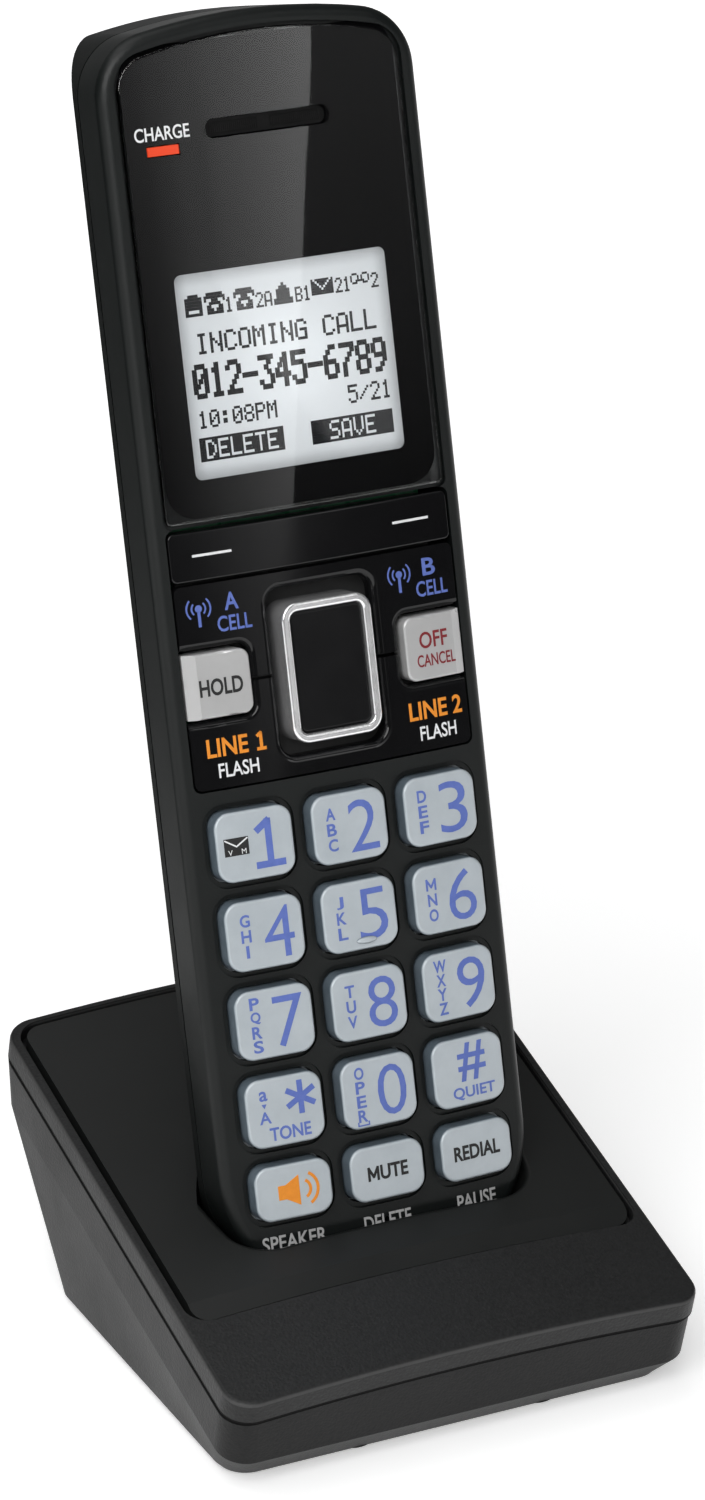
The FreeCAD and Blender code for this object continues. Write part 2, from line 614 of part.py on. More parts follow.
def soften(name, thing, proud, radius, test=None):
    """Round every edge that lies on the crown of the given height, and passes a further test of its
    middle if one is given."""
    reach = size("crown_radius")
    centre = reach - size(proud)

    def on_crown(p):
        return abs((p.x ** 2 + (p.y - centre) ** 2) ** 0.5 - reach) < CLOSE / 10

    picked = []
    for number, edge in enumerate(thing.Shape.Edges, start=1):
        middle = edge.valueAt((edge.FirstParameter + edge.LastParameter) / 2)
        ends = (edge.valueAt(edge.FirstParameter), edge.valueAt(edge.LastParameter))
        wanted = test is None or test(middle)
        if wanted and on_crown(middle) and on_crown(ends[0]) and on_crown(ends[1]):
            picked.append((number, size(radius), size(radius)))
    result = doc.addObject("Part::Fillet", name)
    result.Base = thing
    result.Edges = picked
    doc.recompute()
    return result


# ---------------------------------------------------------------- front case
middle_up = "handset_length / 2"
case_outline = dict(corner="top_corner", low_corner="low_corner", rise="top_rise")
inner_outline = dict(corner="top_corner - case_wall", low_corner="low_corner - case_wall",
                     rise="top_rise")
inner_width = "handset_width - 2 * case_wall"
inner_length = "handset_length - 2 * case_wall"
keys_back = f"face_thick + {CLEAR}"

front_block = panel("front_case_block", "0", middle_up, "handset_width", "handset_length",
                    f"-{CLEAR}", "seam_depth", **case_outline)
front_outer = soften("front_case_outer", crowned("front_case_crown", front_block, "0"), "0", "face_edge")
front_hollow = panel("front_case_hollow", "0", middle_up, inner_width, inner_length,
                     "face_thick", f"seam_depth + {CLEAR}", **inner_outline)
front_shell = cut("front_case_shell", front_outer, front_hollow)

handset_screw_places = []
for side in (-1, 1):
    handset_screw_places.append((f"{side} * low_boss_across", "low_boss_height"))
    handset_screw_places.append((f"{side} * top_boss_across", "top_boss_height"))

bosses = []
pilots = []
for number, (x, z) in enumerate(handset_screw_places):
    bosses.append(rod(f"boss_{number}", "boss_radius", "seam_depth - face_thick / 2", x,
                      "face_thick / 2", z, "back"))
    pilots.append(rod(f"pilot_{number}", "screw_radius + screw_play", "seam_depth - face_thick",
                      x, f"face_thick + {CLEAR} / 2", z, "back"))
front_with_bosses = fuse("front_case_bossed", [front_shell] + bosses)

control_low = "rocker_low - play"
control_high = "lens_low - lens_gap"
opening_front = f"-{CLEAR}"
cutters = [
    panel("lens_recess", "0", "(lens_low + lens_high) / 2", "lens_width + 2 * lens_gap",
          "lens_high - lens_low + 2 * lens_gap", opening_front, "lens_thick",
          corner="lens_corner", low_corner="window_corner", rise="lens_rise"),
    panel("display_window", "0", "display_centre", "display_width + 2 * play",
          "display_height + 2 * play", opening_front, keys_back, corner="small_corner"),
    panel("earpiece_port", "0", "slot_centre", "slot_length - 2 * port_in", "slot_height - 2 * port_in",
          opening_front, keys_back, corner=round_end("slot_height - 2 * port_in")),
    panel("light_port", "-light_across", "light_centre", "light_width + play",
          "light_height + play", opening_front, keys_back),
    panel("control_window", "0", f"({control_low} + {control_high}) / 2", "panel_width + 2 * play",
          f"({control_high}) - ({control_low})", opening_front, keys_back, corner="window_corner"),
    rod("mic_port_hole", "mic_port", f"face_thick + 2 * {CLEAR}", "0", opening_front, "mic_height", "back"),
]

# ---------------------------------------------------------------- keys
key_names = [
    ["key_1", "key_2", "key_3"],
    ["key_4", "key_5", "key_6"],
    ["key_7", "key_8", "key_9"],
    ["key_star", "key_0", "key_hash"],
    ["speaker_key", "mute_key", "redial_key"],
]
moats = []
flange_front = "face_thick + thin_gap"
flange_back = f"{flange_front} + flange_thick"
last_row = len(key_names) - 1
for row, names in enumerate(key_names):
    is_function = row == last_row
    tall = "function_height" if is_function else "key_height"
    up = f"first_row - {min(row, last_row - 1)} * row_pitch" + (" - function_drop" if is_function else "")
    side_flange = "0" if is_function else "2 * flange_out"
    for column, name in enumerate(names):
        across = f"{column - 1} * key_pitch"
        cap = panel(name + "_cap", across, up, "key_width", tall, f"-key_proud - {CLEAR}", flange_back,
                    corner="key_corner")
        top = soften(name + "_top", crowned(name + "_crown", cap, "key_proud"), "key_proud", "key_edge")
        flange = panel(name + "_flange", across, up, f"key_width + {side_flange}",
                       f"{tall} + 2 * flange_out", flange_front, flange_back, corner="key_corner")
        keep_handset(name, fuse(name + "_whole", [top, flange]))
        cutters.append(panel(name + "_opening", across, up, "key_width + 2 * play",
                             f"{tall} + 2 * play", opening_front, keys_back, corner="key_corner + play"))
        moats.append(panel(name + "_moat", across, up, "key_width + 2 * moat_out",
                           f"{tall} + 2 * moat_out", opening_front, "face_thick / 2",
                           corner="key_corner + moat_out"))
moat_tool = cut("moats", fuse("moat_blocks", moats), crown("-moat_depth"))
seam_ring = panel("seam_ring", "0", middle_up, f"handset_width + {CLEAR}", f"handset_length + {CLEAR}",
                  "seam_depth - seam_gap", f"seam_depth + {CLEAR}", **case_outline)
seam_core = panel("seam_core", "0", middle_up, "handset_width - 2 * seam_sink",
                  "handset_length - 2 * seam_sink", "face_thick", f"seam_depth + 2 * {CLEAR}",
                  corner="top_corner - seam_sink", low_corner="low_corner - seam_sink", rise="top_rise")
seam_groove = cut("seam_groove", seam_ring, seam_core)
front_cutters = fuse("front_case_cutters", cutters + pilots + [moat_tool, seam_groove])
front_case = cut("front_case_cut", front_with_bosses, front_cutters)
keep_handset("handset_front_case", front_case)

# ---------------------------------------------------------------- lens and display
lens_block = panel("lens_block", "0", "(lens_low + lens_high) / 2", "lens_width", "lens_high - lens_low",
                   opening_front, "lens_thick", corner="lens_corner", low_corner="small_corner",
                   rise="lens_rise")
slot_cutter = panel("lens_slot", "0", "slot_centre", "slot_length", "slot_height", opening_front,
                    keys_back, corner=round_end("slot_height"))
light_cutter = panel("lens_light_hole", "-light_across", "light_centre", "light_width + play",
                     "light_height + play", opening_front, keys_back)
lens_front = soften("lens_front", crowned("lens_crown", lens_block, "0"), "0", "lens_edge")
keep_handset("display_lens", cut("lens_cut", lens_front, fuse("lens_holes", [slot_cutter, light_cutter])))

display_front = "lens_thick + thin_gap"
holder_front = f"{display_front} + display_thick"
keep_handset("lcd_panel", panel("lcd_block", "0", "display_centre", "display_width", "display_height",
                                display_front, holder_front, corner="hidden_corner"))
keep_handset("lcd_holder", panel("lcd_holder_block", "0", "display_centre", 
                                 "display_width + 2 * holder_rim", "display_height + 2 * holder_rim",
                                 holder_front, "board_front", corner="hidden_corner"))
keep_handset("charge_light", crowned("light_crown", panel(
    "light_block", "-light_across", "light_centre", "light_width", "light_height", opening_front,
    "board_front - thin_gap"), "0"))
keep_handset("earpiece_mesh", panel("mesh_block", "0", "slot_centre", "slot_length - play",
                                    "slot_height - play", "lens_thick - mesh_thick", "lens_thick",
                                    corner=round_end("slot_height - play")))
keep_handset("earpiece_speaker", rod("earpiece_disc", "earpiece_radius",
                                     "board_front - face_thick - 4 * thin_gap", "0",
                                     "face_thick + 2 * thin_gap",
                                     "slot_centre", "back"))

# ---------------------------------------------------------------- control panel
keep_handset("softkey_bar", soften("bar_soft", crowned("bar_crown", panel(
    "bar_block", "0", "(bar_low + bar_high) / 2", "panel_width", "bar_high - bar_low", opening_front,
    "rocker_thick", corner="small_corner"), "0"), "0", "bar_edge"))

rocker_cutters = [panel("well_cutter", "0", "(well_low + well_high) / 2", "well_width",
                        "well_high - well_low", f"-2 * {CLEAR}", keys_back, corner="well_corner")]
for side, wing in ((-1, "hold"), (1, "off")):
    rocker_cutters.append(panel(wing + "_cutter", f"{side} * (wing_across + {CLEAR} / 2)", "wing_centre",
                                f"wing_width + {CLEAR} + 2 * panel_gap", "wing_height + 2 * panel_gap",
                                f"-2 * {CLEAR}", keys_back, corner="cutout_corner"))
rocker_tool = fuse("rocker_cutters", rocker_cutters)
for name, low, high in (("cell_rocker", "rocker_split + panel_gap / 2", "rocker_high"),
                        ("line_rocker", "rocker_low", "rocker_split - panel_gap / 2")):
    face = crowned(name + "_crown", panel(name + "_block", "0", f"({low} + {high}) / 2", "panel_width",
                                          f"({high}) - ({low})", opening_front, "rocker_thick",
                                          corner="rocker_corner"), "0")
    opened = cut(name + "_cut", face, rocker_tool)
    doc.recompute()

    def at_opening(p, low=size(low), high=size(high)):
        return low + SAME < p.z < high - SAME and abs(p.x) < size("panel_width / 2 - rocker_corner")

    keep_handset(name, soften(name + "_dip", opened, "0", "rocker_dip", at_opening))

nav_back = "rubber_front - nav_float"
ring_block = panel("ring_block", "0", "ring_centre", "ring_width", "ring_height", f"-ring_proud - {CLEAR}",
                   nav_back, corner="ring_corner")
ring_hole = panel("ring_hole", "0", "ring_centre", "ring_width - 2 * ring_band",
                  "ring_height - 2 * ring_band", f"-2 * {CLEAR}", keys_back,
                  corner="ring_corner - ring_band")
ring_crown = crowned("ring_crown", cut("ring_frame", ring_block, ring_hole), "ring_proud")
keep_handset("nav_ring", soften("ring_soft", ring_crown, "ring_proud", "ring_edge"))
pad_block = panel("nav_pad_block", "0", "ring_centre", "ring_width - 2 * (ring_band + thin_gap)",
                  "ring_height - 2 * (ring_band + thin_gap)", f"-pad_proud - {CLEAR}", nav_back,
                  corner="ring_corner - ring_band - thin_gap")
keep_handset("nav_pad", soften("nav_pad_soft", crowned("nav_pad_crown", pad_block, "pad_proud"),
                               "pad_proud", "pad_edge"))
for side, name in ((-1, "hold_key"), (1, "off_key")):
    inner = panel(name + "_block", f"{side} * wing_across", "wing_centre", "wing_width", "wing_height",
                  f"-wing_proud - {CLEAR}", flange_back, corner="wing_corner")
    outer = panel(name + "_outer", f"{side} * (wing_across + wing_width / 4)", "wing_centre",
                  "wing_width / 2", "wing_height", f"-wing_proud - {CLEAR}", flange_back)
    wing = soften(name + "_soft", crowned(name + "_crown", fuse(name + "_whole", [inner, outer]),
                                          "wing_proud"), "wing_proud", "wing_edge")
    # The bevel falls from the key's face to the level of the case at the key's outer edge. A box turned
    # about the upright takes it off; its first corner lies on the bevel's plane, well past one end.
    turn = f"180 {'-' if side < 0 else '+'} wing_slope"
    start_x = f"{side} * panel_width / 2 + 2 * wing_bevel * cos(wing_slope * 1 deg)"
    start_y = f"wing_edge_fall {'-' if side < 0 else '+'} 2 * wing_bevel * sin(wing_slope * 1 deg)"
    if side < 0:
        start_x += " + wing_bevel"
        start_y += " - (wing_edge_fall + wing_proud - wing_start_fall)"
    wedge = brick(name + "_bevel", start_x, start_y, "wing_centre - wing_height", "6 * wing_bevel",
                  "4 * wing_bevel", "2 * wing_height")
    tie(wedge, "Placement.Rotation.Angle", turn)
    keep_handset(name, cut(name + "_bevelled", wing, wedge))

# ---------------------------------------------------------------- boards and works
keep_handset("keypad_rubber", panel("rubber_block", "0", "(rubber_low + rubber_high) / 2",
                                    "board_width", "rubber_high - rubber_low", "rubber_front",
                                    "rubber_front + rubber_thick", corner="hidden_corner",
                                    low_corner="board_corner"))
keep_handset("main_board", panel("board_block", "0", "(board_low + board_high) / 2", "board_width",
                                 "board_high - board_low", "board_front", "board_front + board_thick",
                                 corner="board_top_corner", low_corner="board_corner"))
keep_handset("antenna", panel("antenna_block", "0", "board_high - antenna_down", "antenna_width",
                              "antenna_height", "board_front + board_thick",
                              "board_front + board_thick + antenna_depth", corner="hidden_corner"))
keep_handset("microphone", rod("mic_can", "mic_radius", "rubber_front - face_thick - 2 * thin_gap", "0",
                               "face_thick + thin_gap", "mic_height", "back"))
keep_handset("loudspeaker", fuse("loudspeaker_whole", [
    rod("speaker_frame", "speaker_radius", "speaker_depth", "0", "speaker_back - speaker_depth",
        "speaker_centre", "back"),
    rod("speaker_magnet", "magnet_radius", f"magnet_depth + {JOIN}", "0",
        "speaker_back - speaker_depth - magnet_depth", "speaker_centre", "back")]))

# ---------------------------------------------------------------- rear case
rear_block = panel("rear_case_block", "0", middle_up, "handset_width", "handset_length", "seam_depth",
                   "handset_depth", end_round="back_round", **case_outline)
rear_outer = common("rear_case_outer", rear_block, back_roller("0"))
rear_room = panel("rear_case_hollow", "0", middle_up, inner_width, inner_length, f"seam_depth - {CLEAR}",
                  "handset_depth - back_thick", end_round="back_round - case_wall", **inner_outline)
rear_hollow = common("rear_case_room", rear_room, back_roller("back_thick"))
rear_shell = cut("rear_case_shell", rear_outer, rear_hollow)

door_up = "(door_low + door_high) / 2"
door_tall = "door_high - door_low"
opening_wide = "door_width - 2 * door_ledge"
opening_tall = "door_high - door_low - 2 * door_ledge"
tray = common("tray_trimmed", panel("tray_block", "0", door_up, opening_wide + " + 2 * tray_wall",
                                    opening_tall + " + 2 * tray_wall", "tray_floor", "handset_depth",
                                    corner="tray_corner"), back_roller("(back_thick + door_thick) / 2"))
door_recess = panel("door_recess", "0", door_up, "door_width + 2 * play", door_tall + " + 2 * play",
                    "seam_depth", f"handset_depth + {CLEAR}", corner="door_corner + play")
columns = []
rear_cutters = [
    cut("door_recess_tool", door_recess, back_roller("door_thick + thin_gap / 2")),
    panel("tray_hollow", "0", door_up, opening_wide, opening_tall, "tray_floor + tray_wall",
          f"handset_depth + {CLEAR}", corner="window_corner"),
]
for number, (x, z) in enumerate(handset_screw_places):
    columns.append(rod(f"column_{number}", "column_radius", "handset_depth - seam_depth", x,
                       "seam_depth", z, "back"))
    rear_cutters.append(rod(f"shank_hole_{number}", "screw_radius + 2 * screw_play",
                            f"handset_depth - seam_depth + {CLEAR}", x, f"seam_depth - {CLEAR} / 2", z,
                            "back"))
    rear_cutters.append(rod(f"head_hole_{number}", "screw_head + 2 * screw_play",
                            "handset_depth - seam_depth", x, "seam_depth + screw_seat", z, "back"))
for step in range(int(size("grille_slots"))):
    up = f"speaker_centre + ({step} - (grille_slots - 1) / 2) * grille_pitch"
    rear_cutters.append(panel(f"grille_{step}", "0", up, "grille_length", "grille_height",
                              "handset_depth - 2 * back_thick", f"handset_depth + {CLEAR}",
                              corner=round_end("grille_height")))
for side in (-1, 1):
    name = "left" if side < 0 else "right"
    rear_cutters.append(panel(f"clip_notch_{name}", f"{side} * (handset_width / 2)",
                              "(clip_notch_low + clip_notch_high) / 2", "2 * clip_notch_depth",
                              "clip_notch_high - clip_notch_low", "seam_depth + clip_notch_behind",
                              "seam_depth + clip_notch_behind + clip_notch_wide"))
    rear_cutters.append(rod(f"pad_seat_{name}", "pad_radius + thin_gap", "handset_depth - pad_front",
                            f"{side} * pad_across", "pad_front", "pad_height", "back"))
column_parts = common("columns_trimmed", fuse("columns", columns), rear_outer)
rear_solid = fuse("rear_case_solid", [rear_shell, column_parts, tray])
keep_handset("handset_rear_case", cut("rear_case_cut", rear_solid, fuse("rear_case_cutters", rear_cutters)))

door_block = panel("door_block", "0", door_up, "door_width", door_tall, "seam_depth", "handset_depth",
                   corner="door_corner")
keep_handset("battery_door", cut("door_shell", common("door_outer", door_block, back_roller("0")),
                                 back_roller("door_thick")))
cell_front = "tray_floor + tray_wall + cell_play"
cells = []
for side in (-1, 1):
    name = "left" if side < 0 else "right"
    x = f"{side} * (cell_radius + cell_gap / 2)"
    can = rod(f"cell_can_{name}", "cell_radius", "cell_length - nub_length", x,
              f"{cell_front} + cell_radius", "cell_low")
    nub = rod(f"cell_nub_{name}", "nub_radius", "cell_length", x, f"{cell_front} + cell_radius", "cell_low")
    cells.append(fuse(f"cell_{name}", [can, nub]))
keep_handset("battery_cells", group("battery_pair", cells))
keep_handset("battery_plug", panel("plug_block", "0", "plug_centre", "plug_width", "plug_height",
                                   cell_front, cell_front + " + plug_depth", corner="hidden_corner"))
charging_pads = []
for side, name in ((-1, "left"), (1, "right")):
    disc = rod(f"pad_disc_{name}", "pad_radius", "handset_depth - pad_front", f"{side} * pad_across",
               "pad_front", "pad_height", "back")
    charging_pads.append(common(f"charging_pad_{name}", disc, back_roller("0")))
keep_handset("charging_pads", group("pad_pair", charging_pads))


def screw(name, x, z):
    """A handset screw: its head seats in the rear case's column, its shank runs into the front boss."""
    seat = "seam_depth + screw_seat"
    shank = rod(name + "_shank", "screw_radius", "handset_screw_length", x,
                f"{seat} + {JOIN} - handset_screw_length", z, "back")
    head = rod(name + "_head", "screw_head", "head_height", x, seat, z, "back")
    return fuse(name, [shank, head])


keep_handset("handset_screws", group("handset_screw_set", [
    screw(f"handset_screw_{number}", x, z) for number, (x, z) in enumerate(handset_screw_places)]))


# ---------------------------------------------------------------- cradle
ROLLER_HALF = "200"  # half the length of a roller that trims the cradle's top


def deck_roller(name, lean, y, z):
    """A long roller of the deck's arch. Its highest line leans back by the given angle and passes
    through the point y, z over the middle line."""
    roller = doc.addObject("Part::Cylinder", name)
    roller.Placement.Rotation = FreeCAD.Rotation(FreeCAD.Vector(-1, 0, 0), ANY_ANGLE)
    tie(roller, "Radius", "arch_radius")
    tie(roller, "Height", f"2 * {ROLLER_HALF}")
    tie(roller, "Placement.Rotation.Angle", f"90 deg - {lean}")
    tie(roller, "Placement.Base.y", f"{y} + arch_radius * sin({lean}) - {ROLLER_HALF} * cos({lean})")
    tie(roller, "Placement.Base.z", f"{z} - arch_radius * cos({lean}) - {ROLLER_HALF} * sin({lean})")
    return roller


def over_deck(along, above):
    """World Y and Z of a point on the middle line, from its place along the slope and its height over
    the deck's edge plane."""
    return (f"({along}) * cos({slope}) - ({above}) * sin({slope})",
            f"deck_height + ({along}) * sin({slope}) + ({above}) * cos({slope})")


slope = "(deck_slope * 1 deg)"


def arch(lowered):
    """The roller of the cradle's arched deck, lowered by the given expression."""
    key = "deck:" + lowered
    if key not in rollers:
        name = "deck_roller_" + re.sub(r"\W+", "_", lowered)
        rollers[key] = deck_roller(name, slope, *over_deck("0", f"arch_rise - ({lowered})"))
    return rollers[key]


def section(name, wide, front, back, corner, height, tilted):
    """A rounded rectangle for a loft. front and back are world Y; a tilted one lies along the deck's
    slope, and height is then how far it is below the deck's edge plane."""
    link = Sketcher.Constraint
    sketch = doc.addObject("Sketcher::SketchObject", name)
    long = f"(({back}) - ({front}))" + (" / cos(deck_slope * 1 deg)" if tilted else "")
    half_w = size(wide) / 2
    half_l = size(long) / 2
    r = size(corner)
    for start, end in (((-half_w + r, -half_l), (half_w - r, -half_l)),
                       ((half_w, -half_l + r), (half_w, half_l - r)),
                       ((half_w - r, half_l), (-half_w + r, half_l)),
                       ((-half_w, half_l - r), (-half_w, -half_l + r))):
        sketch.addGeometry(Part.LineSegment(point_on(*start), point_on(*end)))
    quarter = math.pi / 2
    for count, (cx, cy) in enumerate(((half_w - r, -half_l + r), (half_w - r, half_l - r),
                                      (-half_w + r, half_l - r), (-half_w + r, -half_l + r))):
        circle = Part.Circle(point_on(cx, cy), FreeCAD.Vector(0, 0, 1), r)
        sketch.addGeometry(Part.ArcOfCircle(circle, (count - 1) * quarter, count * quarter))
    for line in range(4):
        sketch.addConstraint(link("Tangent", line, 2, 4 + line, 1))
        sketch.addConstraint(link("Tangent", 4 + line, 2, (line + 1) % 4, 1))
    sketch.addConstraint(link("Horizontal", 2))
    sketch.addConstraint(link("Vertical", 3))
    for arc in (5, 6, 7):
        sketch.addConstraint(link("Equal", 4, arc))
    sketch.addConstraint(link("Symmetric", 0, 1, 0, 2, -2))
    sketch.addConstraint(link("Symmetric", 1, 1, 1, 2, -1))
    named = (("corner", link("Radius", 4, r), corner),
             ("wide", link("DistanceX", 3, 1, 1, 1, 2 * half_w), wide),
             ("long", link("DistanceY", 0, 1, 2, 2, 2 * half_l), long))
    for label, constraint, text in named:
        at = sketch.addConstraint(constraint)
        sketch.renameConstraint(at, label)
        tie(sketch, "Constraints." + label, text)
    tie(sketch, "Placement.Base.y", f"(({back}) + ({front})) / 2")
    if tilted:
        sketch.Placement.Rotation = FreeCAD.Rotation(FreeCAD.Vector(1, 0, 0), ANY_ANGLE)
        tie(sketch, "Placement.Rotation.Angle", "deck_slope")
        tie(sketch, "Placement.Base.z",
            f"deck_height + (({back}) + ({front})) / 2 * tan(deck_slope * 1 deg)"
            f" - ({height}) / cos(deck_slope * 1 deg)")
    else:
        tie(sketch, "Placement.Base.z", height)
    return sketch


def loft(name, sections):
    result = doc.addObject("Part::Loft", name)
    result.Sections = sections
    result.Solid = True
    result.Ruled = True
    return result


band = "cover_depth + band_depth"


def hull(name, inset, floor, top):
    """The base's tapered form, drawn in by inset on every side, from floor up to top above the deck's
    edge plane."""
    ring = f"- 2 * ({inset})"
    sections = []
    if inset == "0":
        sections.append(section(name + "_sole", "foot_width - 2 * base_edge", "foot_front + base_edge",
                                "foot_back - base_edge", "foot_corner - base_edge", floor, False))
        sections.append(section(name + "_edge", "foot_width", "foot_front", "foot_back", "foot_corner",
                                f"{floor} + base_edge", False))
    else:
        sections.append(section(name + "_sole", f"foot_width {ring}", f"foot_front + {inset}",
                                f"foot_back - {inset}", f"foot_corner - {inset}", floor, False))
    sections.append(section(name + "_band", f"band_width {ring}", f"band_front + {inset}",
                            f"band_back - {inset}", f"deck_corner - {inset}", band, True))
    sections.append(section(name + "_rim", f"deck_width {ring}", f"parting_front + {inset}",
                            f"parting_back - {inset}", f"deck_corner - {inset}", top, True))
    return loft(name, sections)


base_outer = common("base_outer", hull("base_hull", "0", "foot_lift", "cover_depth - arch_rise"),
                    arch("cover_depth"))
base_hollow = hull("base_hollow", "base_wall", "foot_lift + base_floor", "0")
base_shell = cut("base_shell", base_outer, base_hollow)

cradle_screw_places = []
for side in (-1, 1):
    cradle_screw_places.append((f"{side} * front_screw_across", "front_screw_y"))
    cradle_screw_places.append((f"{side} * back_screw_across", "back_screw_y"))

posts = []
base_cutters = []
for number, (x, y) in enumerate(cradle_screw_places):
    posts.append(rod(f"post_{number}", "column_radius", "post_height", x, y,
                     f"foot_lift + {HAIR}"))
    base_cutters.append(rod(f"post_hole_{number}", "screw_radius + 2 * screw_play",
                            f"post_height + {CLEAR}", x, y, "0"))
    base_cutters.append(rod(f"post_head_{number}", "screw_head + 2 * screw_play",
                            "post_height - post_seat", x, y, "0"))
foot_places = [(f"{side} * foot_across", y) for side in (-1, 1) for y in ("pad_front_y", "pad_back_y")]
for number, (x, y) in enumerate(foot_places):
    base_cutters.append(rod(f"foot_seat_{number}", "rubber_radius + thin_gap", "foot_lift + foot_sink",
                            x, y, "0"))
inlet_low = "foot_lift + base_floor + inlet_up"
base_cutters.append(brick("inlet_window", "-inlet_width / 2 - 2 * thin_gap", "inlet_front",
                          f"{inlet_low} - 2 * thin_gap", "inlet_width + 4 * thin_gap",
                          "deck_back", "inlet_height + 4 * thin_gap"))
keep("cradle_base", cut("base_cut", fuse("base_solid", [base_shell] + posts),
                        fuse("base_cutters", base_cutters)))
keep("cradle_feet", group("foot_set", [
    rod(f"rubber_foot_{number}", "rubber_radius", "foot_lift + foot_sink", x, y, "0")
    for number, (x, y) in enumerate(foot_places)]))


def cradle_screw(name, x, y):
    """A cradle screw: head inside the base's post, shank up into the boss above it."""
    seat = "post_height - post_seat"
    head = rod(name + "_head", "screw_head", "head_height", x, y, f"{seat} - head_height")
    shank = rod(name + "_shank", "screw_radius", "cradle_screw_length - head_height", x, y,
                f"{seat} - {JOIN}")
    return fuse(name, [head, shank])


keep("cradle_screws", group("cradle_screw_set", [
    cradle_screw(f"cradle_screw_{number}", x, y) for number, (x, y) in enumerate(cradle_screw_places)]))


def deck_slab(name, wide, front, back, corner, low, high):
    """A slab in the deck frame between two distances along the slope, laid on the deck."""
    return on_deck(slab(name, "0", f"(({front}) + ({back})) / 2", wide, f"({back}) - ({front})", low, high,
                        corner=corner))


in_skin = "insert_thick / 2"     # how far under the deck the bosses and the pocket's walls end


def screw_boss(name, x, y):
    """A boss from just over the base's post up into the deck's skin, with its pilot hole."""
    boss = rod(name, "column_radius", "2 * deck_height", x, y, "foot_lift + post_height + thin_gap")
    pilot_low = "foot_lift + post_height"
    pilot_high = f"post_height - post_seat - {JOIN} + cradle_screw_length - head_height + pilot_room"
    pilot = rod(name + "_pilot", "screw_radius + screw_play", f"{pilot_high} - ({pilot_low})", x, y,
                pilot_low)
    return common(name + "_trimmed", boss, arch(in_skin)), pilot


# Cover: a rim with a broad front strip. Its opening has a ledge for the inner panel.
under = "-3 * cover_depth"
far_under = "-5 * cover_depth"
above = "3 * arch_rise"
far_above = "4 * arch_rise"
cover_block = common("cover_block", deck_slab("cover_slab", "deck_width", "deck_front", "deck_back",
                                              "deck_corner", under, above),
                     arch("0"))
doc.recompute()


def soften_deck(name, thing, radius, test):
    """Round the edges that lie on the deck's arch and pass a further test."""
    slope = size("deck_slope")
    to_deck = FreeCAD.Placement(FreeCAD.Vector(0, 0, size("deck_height")),
                                FreeCAD.Rotation(FreeCAD.Vector(1, 0, 0), slope)).inverse()
    reach = size("arch_radius")
    sunk = reach - size("arch_rise")

    def on_arch(p):
        q = to_deck.multVec(p)
        return abs((q.x ** 2 + (q.z + sunk) ** 2) ** 0.5 - reach) < CLOSE

    picked = []
    for number, edge in enumerate(thing.Shape.Edges, start=1):
        spots = [edge.valueAt(edge.FirstParameter + t * (edge.LastParameter - edge.FirstParameter))
                 for t in (0, 0.5, 1)]
        if all(on_arch(p) and test(to_deck.multVec(p)) for p in spots):
            picked.append((number, size(radius), size(radius)))
    result = doc.addObject("Part::Fillet", name)
    result.Base = thing
    result.Edges = picked
    doc.recompute()
    return result


cover_top = soften_deck("cover_top", cover_block, "deck_edge", lambda p: True)
cover_skirt = deck_slab("cover_skirt", f"deck_width + {CLEAR}", f"deck_front - {CLEAR}",
                        f"deck_back + {CLEAR}", "deck_corner", under, above)
cover_core = deck_slab("cover_core", "deck_width - 2 * seam_sink", "deck_front + seam_sink",
                       "deck_back - seam_sink", "deck_corner - seam_sink", far_under, far_above)
cover_groove = common("cover_groove", cut("cover_groove_ring", cover_skirt, cover_core),
                      arch("cover_depth - seam_gap"))
cover_ring = cut("cover_ring", cover_top, fuse("cover_ring_tool", [cover_groove, arch("cover_depth")]))
recess = deck_slab("insert_recess", "insert_width + 2 * insert_groove", "insert_front - insert_groove",
                   "insert_back + insert_groove", "insert_corner + insert_groove",
                   under, far_above)
recess_tool = cut("insert_recess_tool", recess, arch("insert_thick + thin_gap"))
through = deck_slab("insert_through", "insert_width - 2 * insert_ledge", "insert_front + insert_ledge",
                    "insert_back - insert_ledge", "insert_corner", far_under, far_above)
strip_hollow = common("strip_hollow", deck_slab(
    "strip_hollow_slab", "deck_width - 2 * cover_wall", "deck_front + cover_wall",
    "insert_front - insert_groove - cover_wall", "window_corner", under, above), arch("cover_skin"))
cover_boss_parts = []
cover_pilots = []
insert_boss_parts = []
insert_pilots = []
for number, (x, y) in enumerate(cradle_screw_places):
    boss, pilot = screw_boss(f"cradle_boss_{number}", x, y)
    if y == "front_screw_y":
        cover_boss_parts.append(boss)
        cover_pilots.append(pilot)
    else:
        insert_boss_parts.append(boss)
        insert_pilots.append(pilot)
cover_opened = cut("cover_opened", cover_ring, fuse("cover_cutters", [recess_tool, through, strip_hollow]))
keep("cradle_cover", cut("cover_drilled", fuse("cover_bossed", [cover_opened] + cover_boss_parts),
                         fuse("cover_pilot_set", cover_pilots)))

# Inner panel with the pocket that holds the handset's lower end.
panel_block = common("insert_plate", deck_slab("insert_slab", "insert_width", "insert_front",
                                               "insert_back", "insert_corner", under, above),
                     arch("0"))
plate = cut("insert_skin", panel_block, arch("insert_thick"))
pocket_high = "2 * deck_height"


